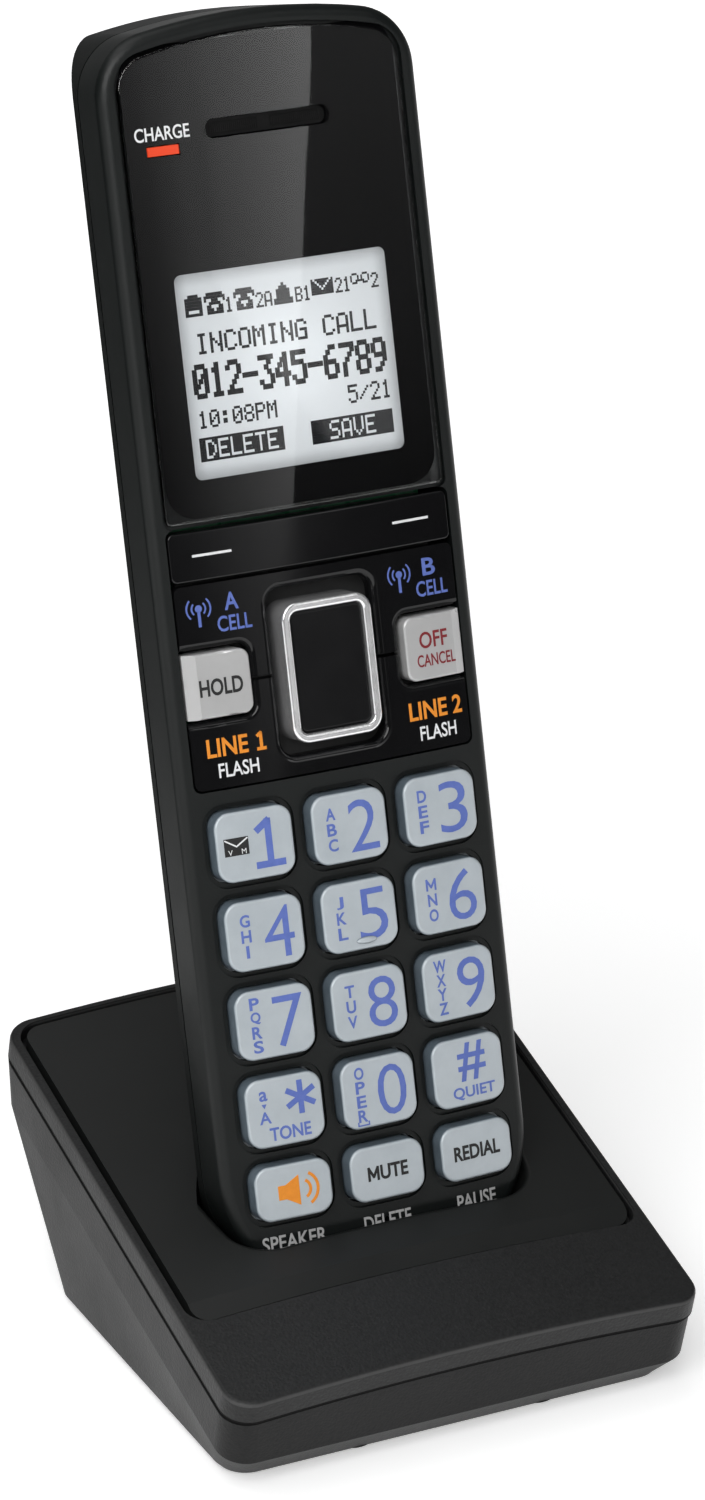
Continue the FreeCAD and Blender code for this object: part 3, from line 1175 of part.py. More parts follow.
def pocket_block(name, wall):
    """The pocket's form in the handset frame, with the given wall round the room for the handset."""
    low = f"(-pocket_below - {wall})"
    box = panel(name, "0", f"({pocket_high} + {low}) / 2",
                f"handset_width + 2 * pocket_side + 2 * ({wall})", f"{pocket_high} - {low}",
                f"-pocket_front - ({wall})", f"handset_depth + pocket_back + ({wall})",
                corner=f"pocket_corner + ({wall}) + {CLEAR}",
                low_corner=f"low_corner + pocket_side + ({wall})",
                near_round=f"pocket_corner + ({wall})")
    return in_handset(common(name + "_round", box, back_roller(f"-(pocket_back + {wall})")))


pocket_outer = common("pocket_outer", pocket_block("pocket_outer_block", "pocket_wall"), arch(in_skin))
pocket_room = pocket_block("pocket_room", "0")
wall_back = "handset_depth + pocket_back + pocket_wall"
board_near = "pin_tip + pin_length + cradle_board_gap"
post_front = "handset_depth - board_post_root"
board_posts = [in_handset(rod(f"board_post_{name}", "board_post_radius", f"{board_near} - ({post_front})",
                              f"{side} * board_post_across", post_front, "board_post_height", "back"))
               for side, name in ((-1, "left"), (1, "right"))]
pin_bores = [in_handset(rod(f"pin_bore_{name}", "pin_radius + thin_gap", f"2 * pocket_wall + {CLEAR}",
                            f"{side} * pad_across", "handset_depth - pocket_wall", "pad_height",
                            "back")) for side, name in ((-1, "left"), (1, "right"))]
bevel_roller = deck_roller("bevel_roller", f"({slope} + atan(bevel_drop / bevel_width))",
                           *over_deck("insert_front + bevel_width", "arch_rise"))
insert_solid = fuse("insert_solid", [plate, pocket_outer] + board_posts + insert_boss_parts)
insert_cutters = fuse("insert_cutters", [pocket_room] + pin_bores + insert_pilots)
insert_cut = cut("insert_cut", insert_solid, insert_cutters)
insert_bevelled = common("insert_bevelled", insert_cut, bevel_roller)
doc.recompute()
lip = soften_deck("insert_lip", insert_bevelled, "pocket_lip",
                  lambda q: size("insert_front + bevel_width") < q.y < size("insert_front + strip_depth"))
insert = doc.addObject("Part::Feature", "insert_trued")
trued = lip.Shape.copy()
trued.fix(SAME, SAME, float(HAIR))      # the rounding leaves a wall's edge just off its surface
insert.Shape = trued
keep("cradle_insert", insert)

# Contact pins, the board behind them and the power inlet.
for side, name in ((-1, "left"), (1, "right")):
    x = f"{side} * pad_across"
    pin = rod(f"pin_{name}", "pin_radius", "pin_length", x, "pin_tip", "pad_height", "back")
    collar = rod(f"collar_{name}", "pin_head", "collar_thick", x, f"{wall_back} + thin_gap",
                 "pad_height", "back")
    keep_handset(f"contact_{name}", fuse(f"contact_{name}_whole", [pin, collar]))
keep_handset("cradle_board", panel("cradle_board_block", "0", "(cradle_board_low + cradle_board_high) / 2",
                                   "cradle_board_width", "cradle_board_high - cradle_board_low",
                                   board_near, f"{board_near} + cradle_board_thick",
                                   corner="hidden_corner"))
keep("cradle_ballast", slab("ballast_block", "0", "(ballast_front + ballast_back) / 2", "ballast_width",
                            "ballast_back - ballast_front", "foot_lift + base_floor",
                            "foot_lift + base_floor + ballast_thick", corner="hidden_corner"))
inlet_body = brick("inlet_body", "-inlet_width / 2", "inlet_front", inlet_low, "inlet_width",
                   "inlet_back - inlet_front", "inlet_height")
inlet_middle = f"{inlet_low} + inlet_height / 2"
inlet_hole = rod("inlet_hole", "inlet_bore", f"inlet_bore_depth + {CLEAR}", "0",
                 "inlet_back - inlet_bore_depth", inlet_middle, "back")
inlet_core = rod("inlet_core", "inlet_pin", "inlet_bore_depth", "0",
                 f"inlet_back - inlet_bore_depth - {JOIN}", inlet_middle, "back")
keep("dc_inlet", fuse("inlet_whole", [cut("inlet_bored", inlet_body, inlet_hole), inlet_core]))

# ---------------------------------------------------------------- checks and files
doc.recompute()
faults = [thing.Name for thing in doc.Objects if "Invalid" in thing.State or "Error" in thing.State]
if faults:
    raise RuntimeError("objects that did not build: " + ", ".join(faults[:12]))
os.makedirs("parts", exist_ok=True)
for name, thing in pieces.items():
    shape = thing.Shape
    if shape.isNull() or not shape.isValid() or not shape.Solids:
        raise RuntimeError("no sound solid in " + name)
for name, thing in pieces.items():
    thing.Shape.exportStep(f"parts/{name}.step")
    print(f"{name:22s} {len(thing.Shape.Solids)} solid(s) {thing.Shape.Volume:9.1f} mm3")
whole = FreeCAD.BoundBox()
for thing in pieces.values():
    whole.add(thing.Shape.BoundBox)
print(f"{len(pieces)} pieces, box x {whole.XMin:.2f} {whole.XMax:.2f} y {whole.YMin:.2f} {whole.YMax:.2f} "
      f"z {whole.ZMin:.2f} {whole.ZMax:.2f}")
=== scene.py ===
# %% Load the frame
import math

import bmesh
import bpy
from mathutils import Matrix, Vector


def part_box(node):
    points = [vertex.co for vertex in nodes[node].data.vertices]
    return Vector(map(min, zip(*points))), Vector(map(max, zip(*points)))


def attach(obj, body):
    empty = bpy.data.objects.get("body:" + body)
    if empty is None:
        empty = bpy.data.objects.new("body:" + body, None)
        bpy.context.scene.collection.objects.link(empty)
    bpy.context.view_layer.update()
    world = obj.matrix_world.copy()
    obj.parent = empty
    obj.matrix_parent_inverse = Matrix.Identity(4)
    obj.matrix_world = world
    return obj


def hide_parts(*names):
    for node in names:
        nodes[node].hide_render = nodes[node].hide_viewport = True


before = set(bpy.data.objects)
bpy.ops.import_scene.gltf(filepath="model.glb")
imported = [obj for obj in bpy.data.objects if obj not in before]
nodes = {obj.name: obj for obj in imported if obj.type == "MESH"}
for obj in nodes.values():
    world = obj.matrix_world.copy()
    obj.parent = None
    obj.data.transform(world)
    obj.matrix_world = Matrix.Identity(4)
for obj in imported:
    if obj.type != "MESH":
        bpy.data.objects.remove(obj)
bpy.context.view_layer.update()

# %% [markdown]
# ## Working in the handset's own directions
# The telephone leans back in its cradle, so its face is level with nothing. Printing on the face is far
# easier in the handset's own directions: x across, y from the face towards the back, z up the handset.
# One matrix turns such a place, in millimetres, into a place in the room, in metres. The alternative, an
# object that is turned and moved, would let patterns slide when the piece is exported, so the matrix is
# applied to the mesh instead and every object stays at the origin.

# %% The handset's directions
MM = 0.001
RECLINE = math.radians(14.17)
HANDSET = (Matrix.Translation((0, -21.03 * MM, 14.0 * MM)) @ Matrix.Rotation(-RECLINE, 4, "X")
           @ Matrix.Scale(MM, 4))
CROWN = 200.0
KEY_PITCH = 14.0
SCREEN_MIDDLE = 128.1


def face_depth(x):
    """How far the crowned face has fallen back, x millimetres from the middle line."""
    return CROWN - math.sqrt(CROWN * CROWN - x * x)


def add(name, data):
    """Place data in the scene as an object at the origin."""
    placed = bpy.data.objects.new(name, data)
    bpy.context.scene.collection.objects.link(placed)
    return placed


def settle(name, bm):
    """Turn a bmesh into a mesh and free it."""
    mesh = bpy.data.meshes.new(name)
    bm.to_mesh(mesh)
    bm.free()
    return mesh


print("top of the face at", [round(v, 4) for v in HANDSET @ Vector((0, 0, 175.8))])

# %% [markdown]
# ## Camera
# A long lens from a little above and to the left keeps the sides almost parallel, as in a catalogue
# picture. The camera is placed by two angles and a distance rather than by a target, because those three
# numbers can be read and changed one at a time. The focal length is in picture points, as is the height.

# %% Camera
azimuth = math.radians(-25.816)
elevation = math.radians(22.779)
FOCAL_LENGTH, PICTURE_HEIGHT = 5303.9, 1500
back = Vector((math.sin(azimuth) * math.cos(elevation), -math.cos(azimuth) * math.cos(elevation),
               math.sin(elevation)))
right = Vector((math.cos(azimuth), math.sin(azimuth), 0))
up = back.cross(right)
eye = 722.13 * back + 0.268 * right + 10.423 * up + Vector((0, -6.97, 77.075))
lens = bpy.data.cameras.new("camera")
lens.sensor_fit = "VERTICAL"
lens.sensor_height = 36
lens.lens = FOCAL_LENGTH * lens.sensor_height / PICTURE_HEIGHT
lens.clip_end = 50
camera = add("camera", lens)
camera.matrix_world = Matrix.Translation(eye * MM) @ Matrix((right, up, back)).transposed().to_4x4()
bpy.context.scene.camera = camera
bpy.context.scene.view_settings.view_transform = "Standard"
print("camera at", [round(v, 3) for v in camera.location])

# %% [markdown]
# ## Shader helpers
# Every finish below starts from one Principled shader. Five effects come back in many finishes, so each
# is a node group that is built once and given its own numbers in every material:
# - *Moulded Grain* is the fine pitting that a spark-eroded steel mould leaves on plastic.
# - *Handling* varies the roughness in soft patches, as hands and cloths do.
# - *Colour Drift* lets a colour wander slightly, so that no surface is one flat tone.
# - *Facing* tells how far a surface looks in a given direction, for painted shade on the keys' sides.
# - The fifth, for the seam, paints two bands round the cradle where its cover meets its base: painted
#   shade in the gap and a painted highlight on the cover's rounded edge.
# The groups put out only values, and the shader itself stays in the material.

# %% Node groups
def start_group(name, inputs, outputs):
    tree = bpy.data.node_groups.new(name, "ShaderNodeTree")
    for label, kind, value in inputs:
        socket = tree.interface.new_socket(name=label, in_out="INPUT", socket_type=kind)
        if value is not None:
            socket.default_value = value
    for label, kind in outputs:
        tree.interface.new_socket(name=label, in_out="OUTPUT", socket_type=kind)
    return tree, tree.nodes.new("NodeGroupInput"), tree.nodes.new("NodeGroupOutput")


def noise(tree, detail=2.0, rough=0.5):
    node = tree.nodes.new("ShaderNodeTexNoise")
    node.inputs["Detail"].default_value = detail
    node.inputs["Roughness"].default_value = rough
    return node


def stretch_range(tree, low, high, to_low=0.0, to_high=1.0):
    node = tree.nodes.new("ShaderNodeMapRange")
    for label, value in (("From Min", low), ("From Max", high), ("To Min", to_low), ("To Max", to_high)):
        node.inputs[label].default_value = value
    return node


def ramp(tree, value, *limits):
    """Stretch a linked value from one range to another and give the socket that holds the result."""
    node = stretch_range(tree, *limits)
    tree.links.new(value, node.inputs["Value"])
    return node.outputs["Result"]


def arithmetic(tree, operation, *values):
    """A sum of linked sockets and plain numbers; gives the socket that holds the result."""
    node = tree.nodes.new("ShaderNodeMath")
    node.operation = operation
    for place, value in enumerate(values):
        if isinstance(value, bpy.types.NodeSocket):
            tree.links.new(value, node.inputs[place])
        else:
            node.inputs[place].default_value = value
    return node.outputs[0]


def measure_along(tree, vector, direction):
    """How far a linked vector reaches in a fixed direction."""
    node = tree.nodes.new("ShaderNodeVectorMath")
    node.operation = "DOT_PRODUCT"
    node.inputs[1].default_value = direction
    tree.links.new(vector, node.inputs[0])
    return node.outputs["Value"]


grain_tree, given, result = start_group(
    "Moulded Grain", [("Vector", "NodeSocketVector", None), ("Density", "NodeSocketFloat", 2500.0)],
    [("Height", "NodeSocketFloat")])
fine = noise(grain_tree, 3.0, 0.6)
cells = grain_tree.nodes.new("ShaderNodeTexVoronoi")
for node in (fine, cells):
    grain_tree.links.new(given.outputs["Vector"], node.inputs["Vector"])
    grain_tree.links.new(given.outputs["Density"], node.inputs["Scale"])
pits = ramp(grain_tree, cells.outputs["Distance"], 0.1, 0.7)
relief = arithmetic(grain_tree, "MULTIPLY", pits, fine.outputs["Fac"])
grain_tree.links.new(relief, result.inputs["Height"])

hand_tree, given, result = start_group(
    "Handling", [("Vector", "NodeSocketVector", None), ("Density", "NodeSocketFloat", 70.0),
                 ("Smooth", "NodeSocketFloat", 0.3), ("Rough", "NodeSocketFloat", 0.4)],
    [("Roughness", "NodeSocketFloat")])
cloud = noise(hand_tree, 4.0, 0.6)
spread = stretch_range(hand_tree, 0.3, 0.7)
hand_tree.links.new(given.outputs["Vector"], cloud.inputs["Vector"])
hand_tree.links.new(given.outputs["Density"], cloud.inputs["Scale"])
hand_tree.links.new(cloud.outputs["Fac"], spread.inputs["Value"])
hand_tree.links.new(given.outputs["Smooth"], spread.inputs["To Min"])
hand_tree.links.new(given.outputs["Rough"], spread.inputs["To Max"])
hand_tree.links.new(spread.outputs["Result"], result.inputs["Roughness"])

drift_tree, given, result = start_group(
    "Colour Drift", [("Vector", "NodeSocketVector", None), ("Density", "NodeSocketFloat", 40.0),
                     ("Dark", "NodeSocketColor", (0.02, 0.02, 0.02, 1)),
                     ("Light", "NodeSocketColor", (0.03, 0.03, 0.03, 1))],
    [("Color", "NodeSocketColor")])
wander = noise(drift_tree, 5.0, 0.65)
sharpen = stretch_range(drift_tree, 0.3, 0.7)
mix = drift_tree.nodes.new("ShaderNodeMix")
mix.data_type = "RGBA"
drift_tree.links.new(given.outputs["Vector"], wander.inputs["Vector"])
drift_tree.links.new(given.outputs["Density"], wander.inputs["Scale"])
drift_tree.links.new(wander.outputs["Fac"], sharpen.inputs["Value"])
drift_tree.links.new(sharpen.outputs["Result"], mix.inputs["Factor"])
drift_tree.links.new(given.outputs["Dark"], mix.inputs["A"])
drift_tree.links.new(given.outputs["Light"], mix.inputs["B"])
drift_tree.links.new(mix.outputs["Result"], result.inputs["Color"])

facing_tree, given, result = start_group(
    "Facing", [("Normal", "NodeSocketVector", None), ("Towards", "NodeSocketVector", (0.0, -1.0, 0.0)),
               ("Low", "NodeSocketFloat", 0.3), ("High", "NodeSocketFloat", 0.9)],
    [("Amount", "NodeSocketFloat")])
agree = facing_tree.nodes.new("ShaderNodeVectorMath")
agree.operation = "DOT_PRODUCT"
amount = stretch_range(facing_tree, 0.3, 0.9)
facing_tree.links.new(given.outputs["Normal"], agree.inputs[0])
facing_tree.links.new(given.outputs["Towards"], agree.inputs[1])
facing_tree.links.new(agree.outputs["Value"], amount.inputs["Value"])
facing_tree.links.new(given.outputs["Low"], amount.inputs["From Min"])
facing_tree.links.new(given.outputs["High"], amount.inputs["From Max"])
facing_tree.links.new(amount.outputs["Result"], result.inputs["Amount"])

# %% [markdown]
# ## Painted shade and a painted highlight where cover meets base
# The deck slopes and is slightly bowed. A point's height over the sloping plane, plus x squared over twice
# the bow's radius, is therefore the same all along the seam. The first band is painted shade: black and
# dull, it stands for the shade in the gap. It is wider than the modelled gap and takes in the lowest part
# of the cover's side, because the cover hides the gap from above. The second band is a painted highlight:
# the cover's rounded edge is given a paler tone.

# %% Seam shade and highlight
DECK_SLOPE = math.radians(15.64)
DECK_RADIUS = 394.0
BASE_TOP = 24.166
EDGE_FOOT = 27.42
seam_tree, given, result = start_group("Seam Shade And Highlight", [("Vector", "NodeSocketVector", None)],
                                       [("Mask", "NodeSocketFloat"), ("Painted Highlight", "NodeSocketFloat")])
split = seam_tree.nodes.new("ShaderNodeSeparateXYZ")
seam_tree.links.new(given.outputs["Vector"], split.inputs[0])
x_squared = arithmetic(seam_tree, "MULTIPLY", split.outputs["X"], split.outputs["X"])
over_plane = measure_along(seam_tree, given.outputs["Vector"],
                           (0.0, -math.sin(DECK_SLOPE) / MM, math.cos(DECK_SLOPE) / MM))
over_deck = arithmetic(seam_tree, "MULTIPLY_ADD", x_squared, 1 / (2 * DECK_RADIUS * MM * MM), over_plane)
# The dark band is painted shade for the gap; the pale band is a painted highlight on the cover's edge.
for label, foot, starts, full, fades, ends in (("Mask", BASE_TOP, -0.36, -0.30, 0.62, 0.72),
                                               ("Painted Highlight", EDGE_FOOT, 0.0, 0.2, 0.4, 0.55)):
    rising = ramp(seam_tree, over_deck, foot + starts, foot + full)
    falling = ramp(seam_tree, over_deck, foot + fades, foot + ends, 1.0, 0.0)
    seam_tree.links.new(arithmetic(seam_tree, "MULTIPLY", rising, falling), result.inputs[label])
print("groups:", [tree.name for tree in bpy.data.node_groups])

# %% [markdown]
# ## One helper for most finishes
# A moulded, painted or plated surface needs the same four things: a colour that drifts a little, a
# roughness that varies, a fine relief, and a few fixed numbers such as how metallic it is. The helper
# wires them, so that each finish below is a short list of its own numbers. The fixed numbers are set on
# the shader's own sockets.

# %% The finish helper
def effect(tree, name, **values):
    """Place a node group and fill in its inputs."""
    node = tree.nodes.new("ShaderNodeGroup")
    node.node_tree = bpy.data.node_groups[name]
    for label, value in values.items():
        node.inputs[label].default_value = value
    return node


def rgb(red, green, blue):
    return (red, green, blue, 1.0)


def finish(name, dark, light, smooth, rough, grain=0.0, density=2500.0, patch=70.0, drift=40.0, **fixed):
    """A procedural material: drifting colour, patchy roughness, fine moulded relief."""
    material = bpy.data.materials.new(name)
    material.use_nodes = True
    tree = material.node_tree
    shader = tree.nodes["Principled BSDF"]
    place = tree.nodes.new("ShaderNodeTexCoord")
    colour = effect(tree, "Colour Drift", Density=drift, Dark=rgb(*dark), Light=rgb(*light))
    hands = effect(tree, "Handling", Density=patch, Smooth=smooth, Rough=rough)
    tree.links.new(place.outputs["Object"], colour.inputs["Vector"])
    tree.links.new(place.outputs["Object"], hands.inputs["Vector"])
    tree.links.new(colour.outputs["Color"], shader.inputs["Base Color"])
    tree.links.new(hands.outputs["Roughness"], shader.inputs["Roughness"])
    if grain:
        pitted = effect(tree, "Moulded Grain", Density=density)
        bump = tree.nodes.new("ShaderNodeBump")
        bump.inputs["Distance"].default_value = grain * MM
        bump.inputs["Strength"].default_value = 1.0
        tree.links.new(place.outputs["Object"], pitted.inputs["Vector"])
        tree.links.new(pitted.outputs["Height"], bump.inputs["Height"])
        tree.links.new(bump.outputs["Normal"], shader.inputs["Normal"])
    for label, value in fixed.items():
        shader.inputs[label.replace("_", " ")].default_value = value
    return material


def wear(material, *names):
    """Put a finish on carried-over solids."""
    for name in names:
        nodes[name].data.materials.clear()
        nodes[name].data.materials.append(material)


# %% [markdown]
# ## Case plastics
# The cradle's rim and base are moulded with a fine, even texture; the panel inside the rim is a little
# smoother; the handset's case is satin, and its back duller than its front. All are nearly black, and
# what tells them apart is how they catch the light, so roughness and relief matter more than colour.

# %% Case plastics
rim_plastic = finish("textured rim plastic", (0.009, 0.0093, 0.0095), (0.019, 0.0193, 0.0195), 0.44, 0.52,
                     grain=0.05, density=2100, drift=1700, Specular_IOR_Level=0.3)
base_plastic = finish("textured base plastic", (0.009, 0.0092, 0.0094), (0.014, 0.0142, 0.0144), 0.42, 0.5,
                      grain=0.035, density=2400, drift=1500, Specular_IOR_Level=0.2)
panel_plastic = finish("satin panel plastic", (0.008, 0.0088, 0.0085), (0.010, 0.0108, 0.0105), 0.36, 0.42,
                       grain=0.006, density=3200, Specular_IOR_Level=0.4)
case_plastic = finish("satin case plastic", (0.0042, 0.0056, 0.0054), (0.0058, 0.0073, 0.0070), 0.38, 0.46,
                      grain=0.010, density=3200, Specular_IOR_Level=0.3)
back_plastic = finish("satin back plastic", (0.0042, 0.0052, 0.0050), (0.0058, 0.0068, 0.0066), 0.44, 0.52,
                      grain=0.012, density=3200, Specular_IOR_Level=0.16)


def paint_seam_shade_and_highlight(material):
    """Paint a highlight on the cover's rounded edge as a paler tone, then painted shade in the seam's band:
    black and dull.
    """
    tree = material.node_tree
    shader = tree.nodes["Principled BSDF"]
    place = tree.nodes.new("ShaderNodeTexCoord")
    seam = effect(tree, "Seam Shade And Highlight")
    tree.links.new(place.outputs["Object"], seam.inputs["Vector"])
    # A paler colour is the painted highlight; near-black and full roughness are the painted shade.
    for label, kind, mask, value in (("Base Color", "RGBA", "Painted Highlight", rgb(0.06, 0.06, 0.06)),
                                     ("Base Color", "RGBA", "Mask", rgb(0.001, 0.001, 0.001)),
                                     ("Roughness", "FLOAT", "Mask", 1.0)):
        mix = tree.nodes.new("ShaderNodeMix")
        mix.data_type = kind
        plain = shader.inputs[label].links[0].from_socket
        tree.links.new(seam.outputs[mask], mix.inputs["Factor"])
        tree.links.new(plain, mix.inputs["A"])
        mix.inputs["B"].default_value = value
        tree.links.new(mix.outputs["Result"], shader.inputs[label])


# Painted shade in the seam and a painted highlight on the cover's edge, on rim and base plastics.
paint_seam_shade_and_highlight(rim_plastic)
paint_seam_shade_and_highlight(base_plastic)
wear(rim_plastic, "cradle_cover")
wear(base_plastic, "cradle_base")
wear(panel_plastic, "cradle_insert")
wear(case_plastic, "handset_front_case")
wear(back_plastic, "handset_rear_case", "battery_door")
print("case plastics on", [n for n, o in nodes.items() if "plastic" in o.data.materials[0].name])

# %% [markdown]
# ## Gloss black controls
# The soft key bar, both rockers and the navigation pad are polished black plastic. Polished plastic is
# never perfectly clean, so the roughness moves between two low values and a faint ripple breaks long
# reflections, as sink marks do.

# %% Gloss black
gloss_black = finish("polished black plastic", (0.004, 0.004, 0.0045), (0.006, 0.006, 0.0065), 0.08, 0.13,
                     grain=0.003, density=300, patch=120, Specular_IOR_Level=0.35)
pad_black = finish("navigation pad plastic", (0.004, 0.004, 0.0045), (0.006, 0.006, 0.0065), 0.2, 0.28,
                   grain=0.004, density=2600, patch=120, Specular_IOR_Level=0.22)
wear(gloss_black, "softkey_bar", "cell_rocker", "line_rocker")
wear(pad_black, "nav_pad")

# %% [markdown]
# ## Silver keys
# The keys are lacquered in cool silver grey. A lacquer like that is neither metal nor plain paint: tiny
# flakes lie in a clear coat. A little metallic, a fine grain in the relief for the flakes and a coat on
# top give that. The keys' sides are painted with shade: a darker, bluer tone where they look away from the
# face. The hold and off keys are warmer and more metallic, and the ring is chrome
# plated.

# %% Silver, chrome and contacts
def paint_side_shade(material, side_dark, side_light, low=0.25, high=0.85):
    """Paint shade on the sides: a darker tone where the surface looks away from the handset's face."""
    tree = material.node_tree
    shader = tree.nodes["Principled BSDF"]
    place = tree.nodes.new("ShaderNodeTexCoord")
    facing = effect(tree, "Facing", Towards=(HANDSET.to_3x3() @ Vector((0, -1, 0))).normalized(), Low=low,
                    High=high)
    side = effect(tree, "Colour Drift", Density=300.0, Dark=rgb(*side_dark), Light=rgb(*side_light))
    mix = tree.nodes.new("ShaderNodeMix")
    mix.data_type = "RGBA"
    top = shader.inputs["Base Color"].links[0].from_socket
    tree.links.new(place.outputs["Normal"], facing.inputs["Normal"])
    tree.links.new(place.outputs["Object"], side.inputs["Vector"])
    tree.links.new(facing.outputs["Amount"], mix.inputs["Factor"])
    tree.links.new(side.outputs["Color"], mix.inputs["A"])
    tree.links.new(top, mix.inputs["B"])
    tree.links.new(mix.outputs["Result"], shader.inputs["Base Color"])


key_silver = finish("silver grey lacquer", (0.46, 0.51, 0.545), (0.53, 0.58, 0.615), 0.32, 0.4,
                    grain=0.008, density=5200, drift=160, Metallic=0.12, Coat_Weight=0.35,
                    Coat_Roughness=0.12)
# Painted shade: darker, bluer sides on the number and function keys.
paint_side_shade(key_silver, (0.11, 0.145, 0.175), (0.16, 0.20, 0.235))
wing_silver = finish("warm silver lacquer", (0.50, 0.50, 0.50), (0.56, 0.56, 0.56), 0.27, 0.31,
                     grain=0.004, density=5200, drift=90, Metallic=0.25, Coat_Weight=0.35,
                     Coat_Roughness=0.1)
chrome = finish("satin chrome", (0.84, 0.84, 0.85), (0.92, 0.92, 0.93), 0.2, 0.27, patch=220,
                Metallic=0.8)
gold = finish("gold plated contact", (0.70, 0.50, 0.20), (0.82, 0.62, 0.30), 0.16, 0.3, grain=0.004,
              density=4000, Metallic=1.0)
steel = finish("zinc plated steel", (0.42, 0.43, 0.44), (0.56, 0.57, 0.58), 0.26, 0.42, grain=0.01,
               density=1800, drift=300, Metallic=1.0)
keys = [name for name in nodes if name.startswith("key_") or name.endswith("_key")]
wear(key_silver, *[name for name in keys if name not in ("hold_key", "off_key")])
wear(wing_silver, "hold_key", "off_key")
wear(chrome, "nav_ring")
wear(gold, "charging_pads", "contact_left", "contact_right")
wear(steel, "cradle_screws", "handset_screws", "cradle_ballast", "antenna", "microphone")
print(len(keys), "silver keys")

# %% [markdown]
# ## Hidden works
# Boards, rubber, speakers and cells show only when the handset is lifted out or the battery door comes
# off, but they are seen in an exploded view, so they get real finishes too: a green solder mask, matt
# silicone rubber, dark moulded plastic, and shrink sleeve on the cells.

# %% Works
rubber = finish("matt rubber", (0.02, 0.02, 0.02), (0.035, 0.035, 0.035), 0.7, 0.85, grain=0.02,
                density=1500)
board_green = finish("solder mask", (0.012, 0.10, 0.04), (0.02, 0.15, 0.06), 0.22, 0.34, grain=0.01,
                     density=700, drift=260)
dark_moulding = finish("dark moulding", (0.03, 0.03, 0.032), (0.045, 0.045, 0.047), 0.45, 0.6,
                       grain=0.02, density=2400)
sleeve = finish("blue shrink sleeve", (0.06, 0.19, 0.36), (0.09, 0.26, 0.46), 0.2, 0.34, grain=0.006,
                density=900, Coat_Weight=0.3)
wear(rubber, "cradle_feet", "keypad_rubber")
wear(board_green, "main_board", "cradle_board")
wear(dark_moulding, "lcd_holder", "dc_inlet", "earpiece_speaker", "loudspeaker", "battery_plug",
     "earpiece_mesh")
wear(sleeve, "battery_cells")

# %% [markdown]
# ## Lens, display and charge light
# The lens is clear plastic with black print on its back, and a bare window where the display shows. So
# the lens gets a glass-like shader, and the print is a thin black piece just inside its back face. The
# display behind it is lit from within, brightest at the middle, with painted shade along its four sides.

# %% Lens and display finishes
glass = bpy.data.materials.new("clear lens plastic")
glass.use_nodes = True
shader = glass.node_tree.nodes["Principled BSDF"]
shader.inputs["Base Color"].default_value = rgb(0.93, 0.94, 0.95)
shader.inputs["IOR"].default_value = 1.49
shader.inputs["Transmission Weight"].default_value = 1.0
place = glass.node_tree.nodes.new("ShaderNodeTexCoord")
hands = effect(glass.node_tree, "Handling", Density=90.0, Smooth=0.01, Rough=0.03)
glass.node_tree.links.new(place.outputs["Object"], hands.inputs["Vector"])
glass.node_tree.links.new(hands.outputs["Roughness"], shader.inputs["Roughness"])
wear(glass, "display_lens")

screen = finish("lit display", (0.25, 0.265, 0.275), (0.28, 0.295, 0.305), 0.6, 0.7, Specular_IOR_Level=0.0)
tree = screen.node_tree
shader = tree.nodes["Principled BSDF"]
low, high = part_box("lcd_panel")
middle = (low + high) / 2
place = tree.nodes.new("ShaderNodeTexCoord")
GLOW_SCALE = 46
centred = tree.nodes.new("ShaderNodeMapping")
centred.vector_type = "POINT"
centred.inputs["Scale"].default_value = [GLOW_SCALE] * 3
centred.inputs["Location"].default_value = -GLOW_SCALE * middle
glow = tree.nodes.new("ShaderNodeTexGradient")
glow.gradient_type = "QUADRATIC_SPHERE"
tint = tree.nodes.new("ShaderNodeMix")
tint.data_type = "RGBA"
tint.inputs["A"].default_value = rgb(0.0, 0.0, 0.0)
tint.inputs["B"].default_value = rgb(0.955, 0.985, 1.0)
tree.links.new(place.outputs["Object"], centred.inputs["Vector"])
tree.links.new(centred.outputs["Vector"], glow.inputs["Vector"])
faded = ramp(tree, glow.outputs["Fac"], 0.0, 0.6, 0.54, 0.74)
to_handset = HANDSET.inverted()
SHADE_WIDTH, SHADE_TONE = 2.1, 0.55
# Painted shade: the glow dims towards the display's four sides.
for row, at, half in ((0, 0.0, 15.55), (2, SCREEN_MIDDLE, 13.8)):
    along = measure_along(tree, place.outputs["Object"], to_handset[row].xyz)
    off = arithmetic(tree, "ABSOLUTE", arithmetic(tree, "ADD", along, to_handset[row].w - at))
    near_edge = stretch_range(tree, half - SHADE_WIDTH, half, 1.0, SHADE_TONE)
    near_edge.interpolation_type = "SMOOTHSTEP"
    tree.links.new(off, near_edge.inputs["Value"])
    faded = arithmetic(tree, "MULTIPLY", faded, near_edge.outputs["Result"])
tree.links.new(faded, tint.inputs["Factor"])
tree.links.new(tint.outputs["Result"], shader.inputs["Emission Color"])
shader.inputs["Emission Strength"].default_value = 1.0
wear(screen, "lcd_panel")

lamp_red = finish("charge light", (0.36, 0.028, 0.008), (0.44, 0.036, 0.010), 0.2, 0.3, grain=0.01,
                  density=1500)
shader = lamp_red.node_tree.nodes["Principled BSDF"]
shader.inputs["Emission Color"].default_value = rgb(0.9, 0.07, 0.015)
shader.inputs["Emission Strength"].default_value = 0.5
wear(lamp_red, "charge_light")
print("bare solids left:", [n for n, o in nodes.items() if not o.data.materials[0].use_nodes])

# %% [markdown]
# ## Printing inks
# Legends on a telephone are pad-printed or laser-marked: thin, opaque and slightly matt. Each ink is a
# finish of its own with a faint mottle, as ink on lacquer has.

